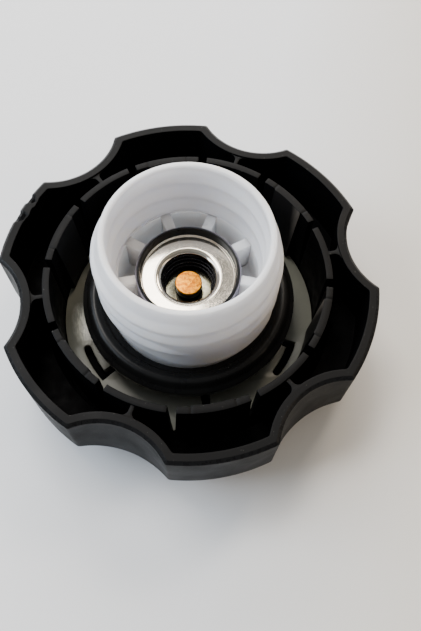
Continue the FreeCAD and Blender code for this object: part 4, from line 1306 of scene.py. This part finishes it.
# %% Table
pale_table = finish("pale_table", (0.78, 0.78, 0.775), 0.6, bumps=(0.7, 2.0, 0.05, 0.05))
tree = pale_table.node_tree
cold = blend(tree, speckle(tree, 60.0, 3.0), (0.79, 0.795, 0.805), (0.825, 0.83, 0.84))
warm = blend(tree, speckle(tree, 60.0, 3.0), (0.70, 0.67, 0.615), (0.73, 0.70, 0.645))
x, y, z = split(tree, place(tree))
# Painted warm light and shade towards the right front.
tint(tree, between(tree, y * -0.35 + x, 0.02, 0.08), cold, warm)
shape = bmesh.new()
bmesh.ops.create_grid(shape, x_segments=1, y_segments=1, size=3.0)
table_mesh = bpy.data.meshes.new("table")
shape.to_mesh(table_mesh)
shape.free()
table = bpy.data.objects.new("table", table_mesh)
table_mesh.materials.append(pale_table)
bpy.context.scene.collection.objects.link(table)
print("table", table.name)

# %% [markdown]
# Light comes from broad soft panels above and behind, slightly cool on the left and warm on the
# right. The sky is bright overhead and behind, and dark near the horizon, which keeps the skirt
# and the bevel black.

# %% Light


def panel(name, stand, size, power, color):
    """A soft rectangular panel that looks at the cap."""
    data = bpy.data.lights.new(name, "AREA")
    data.shape = "RECTANGLE"
    data.size, data.size_y = size
    data.energy = power
    data.color = color
    made = bpy.data.objects.new(name, data)
    made.location = stand
    made.rotation_euler = (Vector((0, 0, 0.03)) - Vector(stand)).to_track_quat("-Z", "Y").to_euler()
    bpy.context.scene.collection.objects.link(made)


panel("window", (-0.19, 0.43, 0.95), (0.53, 0.26), 7.2, (1.0, 0.965, 0.92))
panel("left_fill", (-1.0, 0.25, 0.75), (0.8, 0.8), 19.0, (0.78, 0.88, 1.0))
panel("right_fill", (1.1, -0.35, 0.7), (0.7, 0.7), 4.5, (1.0, 0.80, 0.58))
panel("right_lamp", (0.55, 0.62, 0.9), (0.25, 0.25), 4.5, (1.0, 0.86, 0.70))
panel("back_fill", (0.1, 1.2, 0.7), (1.0, 0.6), 16.0, (1.0, 0.985, 0.97))
world = bpy.data.worlds.new("room")
world.use_nodes = True
tree = world.node_tree
tree.nodes.clear()
east, north, up = split(tree, tree.nodes.new("ShaderNodeTexCoord").outputs["Generated"])
glow = between(tree, up, 0.0, 0.9, 0.10, 0.72) * between(tree, north, -0.9, 0.9, 0.34, 1.15)
glow = glow * between(tree, east, -0.6, 0.6, 1.1, 0.8)
hue = blend(tree, between(tree, east, -0.5, 0.5), (0.90, 0.95, 1.0), (1.0, 0.94, 0.85))
sky = add(tree, "ShaderNodeBackground", {"Color": hue, "Strength": glow})
tree.links.new(sky.outputs[0], tree.nodes.new("ShaderNodeOutputWorld").inputs[0])
bpy.context.scene.world = world

# %% [markdown]
# The camera stands where the photograph was taken from: high in front, a little to the left and
# turned slightly. Its place and axes come from a fit to the rims of the cap.

# %% Camera
CAMERA_PLACE = (-0.01369, -0.09145, 0.20037)
right = Vector((0.98345, -0.18002, 0.02040))
down = Vector((-0.15456, -0.89238, -0.42399))
forward = Vector((0.09453, 0.41382, -0.90544))
data = bpy.data.cameras.new("camera")
data.sensor_width = 36.0
data.lens = 37.51
data.clip_start = 0.01
camera = bpy.data.objects.new("camera", data)
axes = Matrix((right, -down, -forward)).transposed().to_4x4()
axes.translation = Vector(CAMERA_PLACE)
camera.matrix_world = axes
bpy.context.scene.collection.objects.link(camera)
bpy.context.scene.camera = camera
print("camera", [round(v, 4) for v in camera.location])
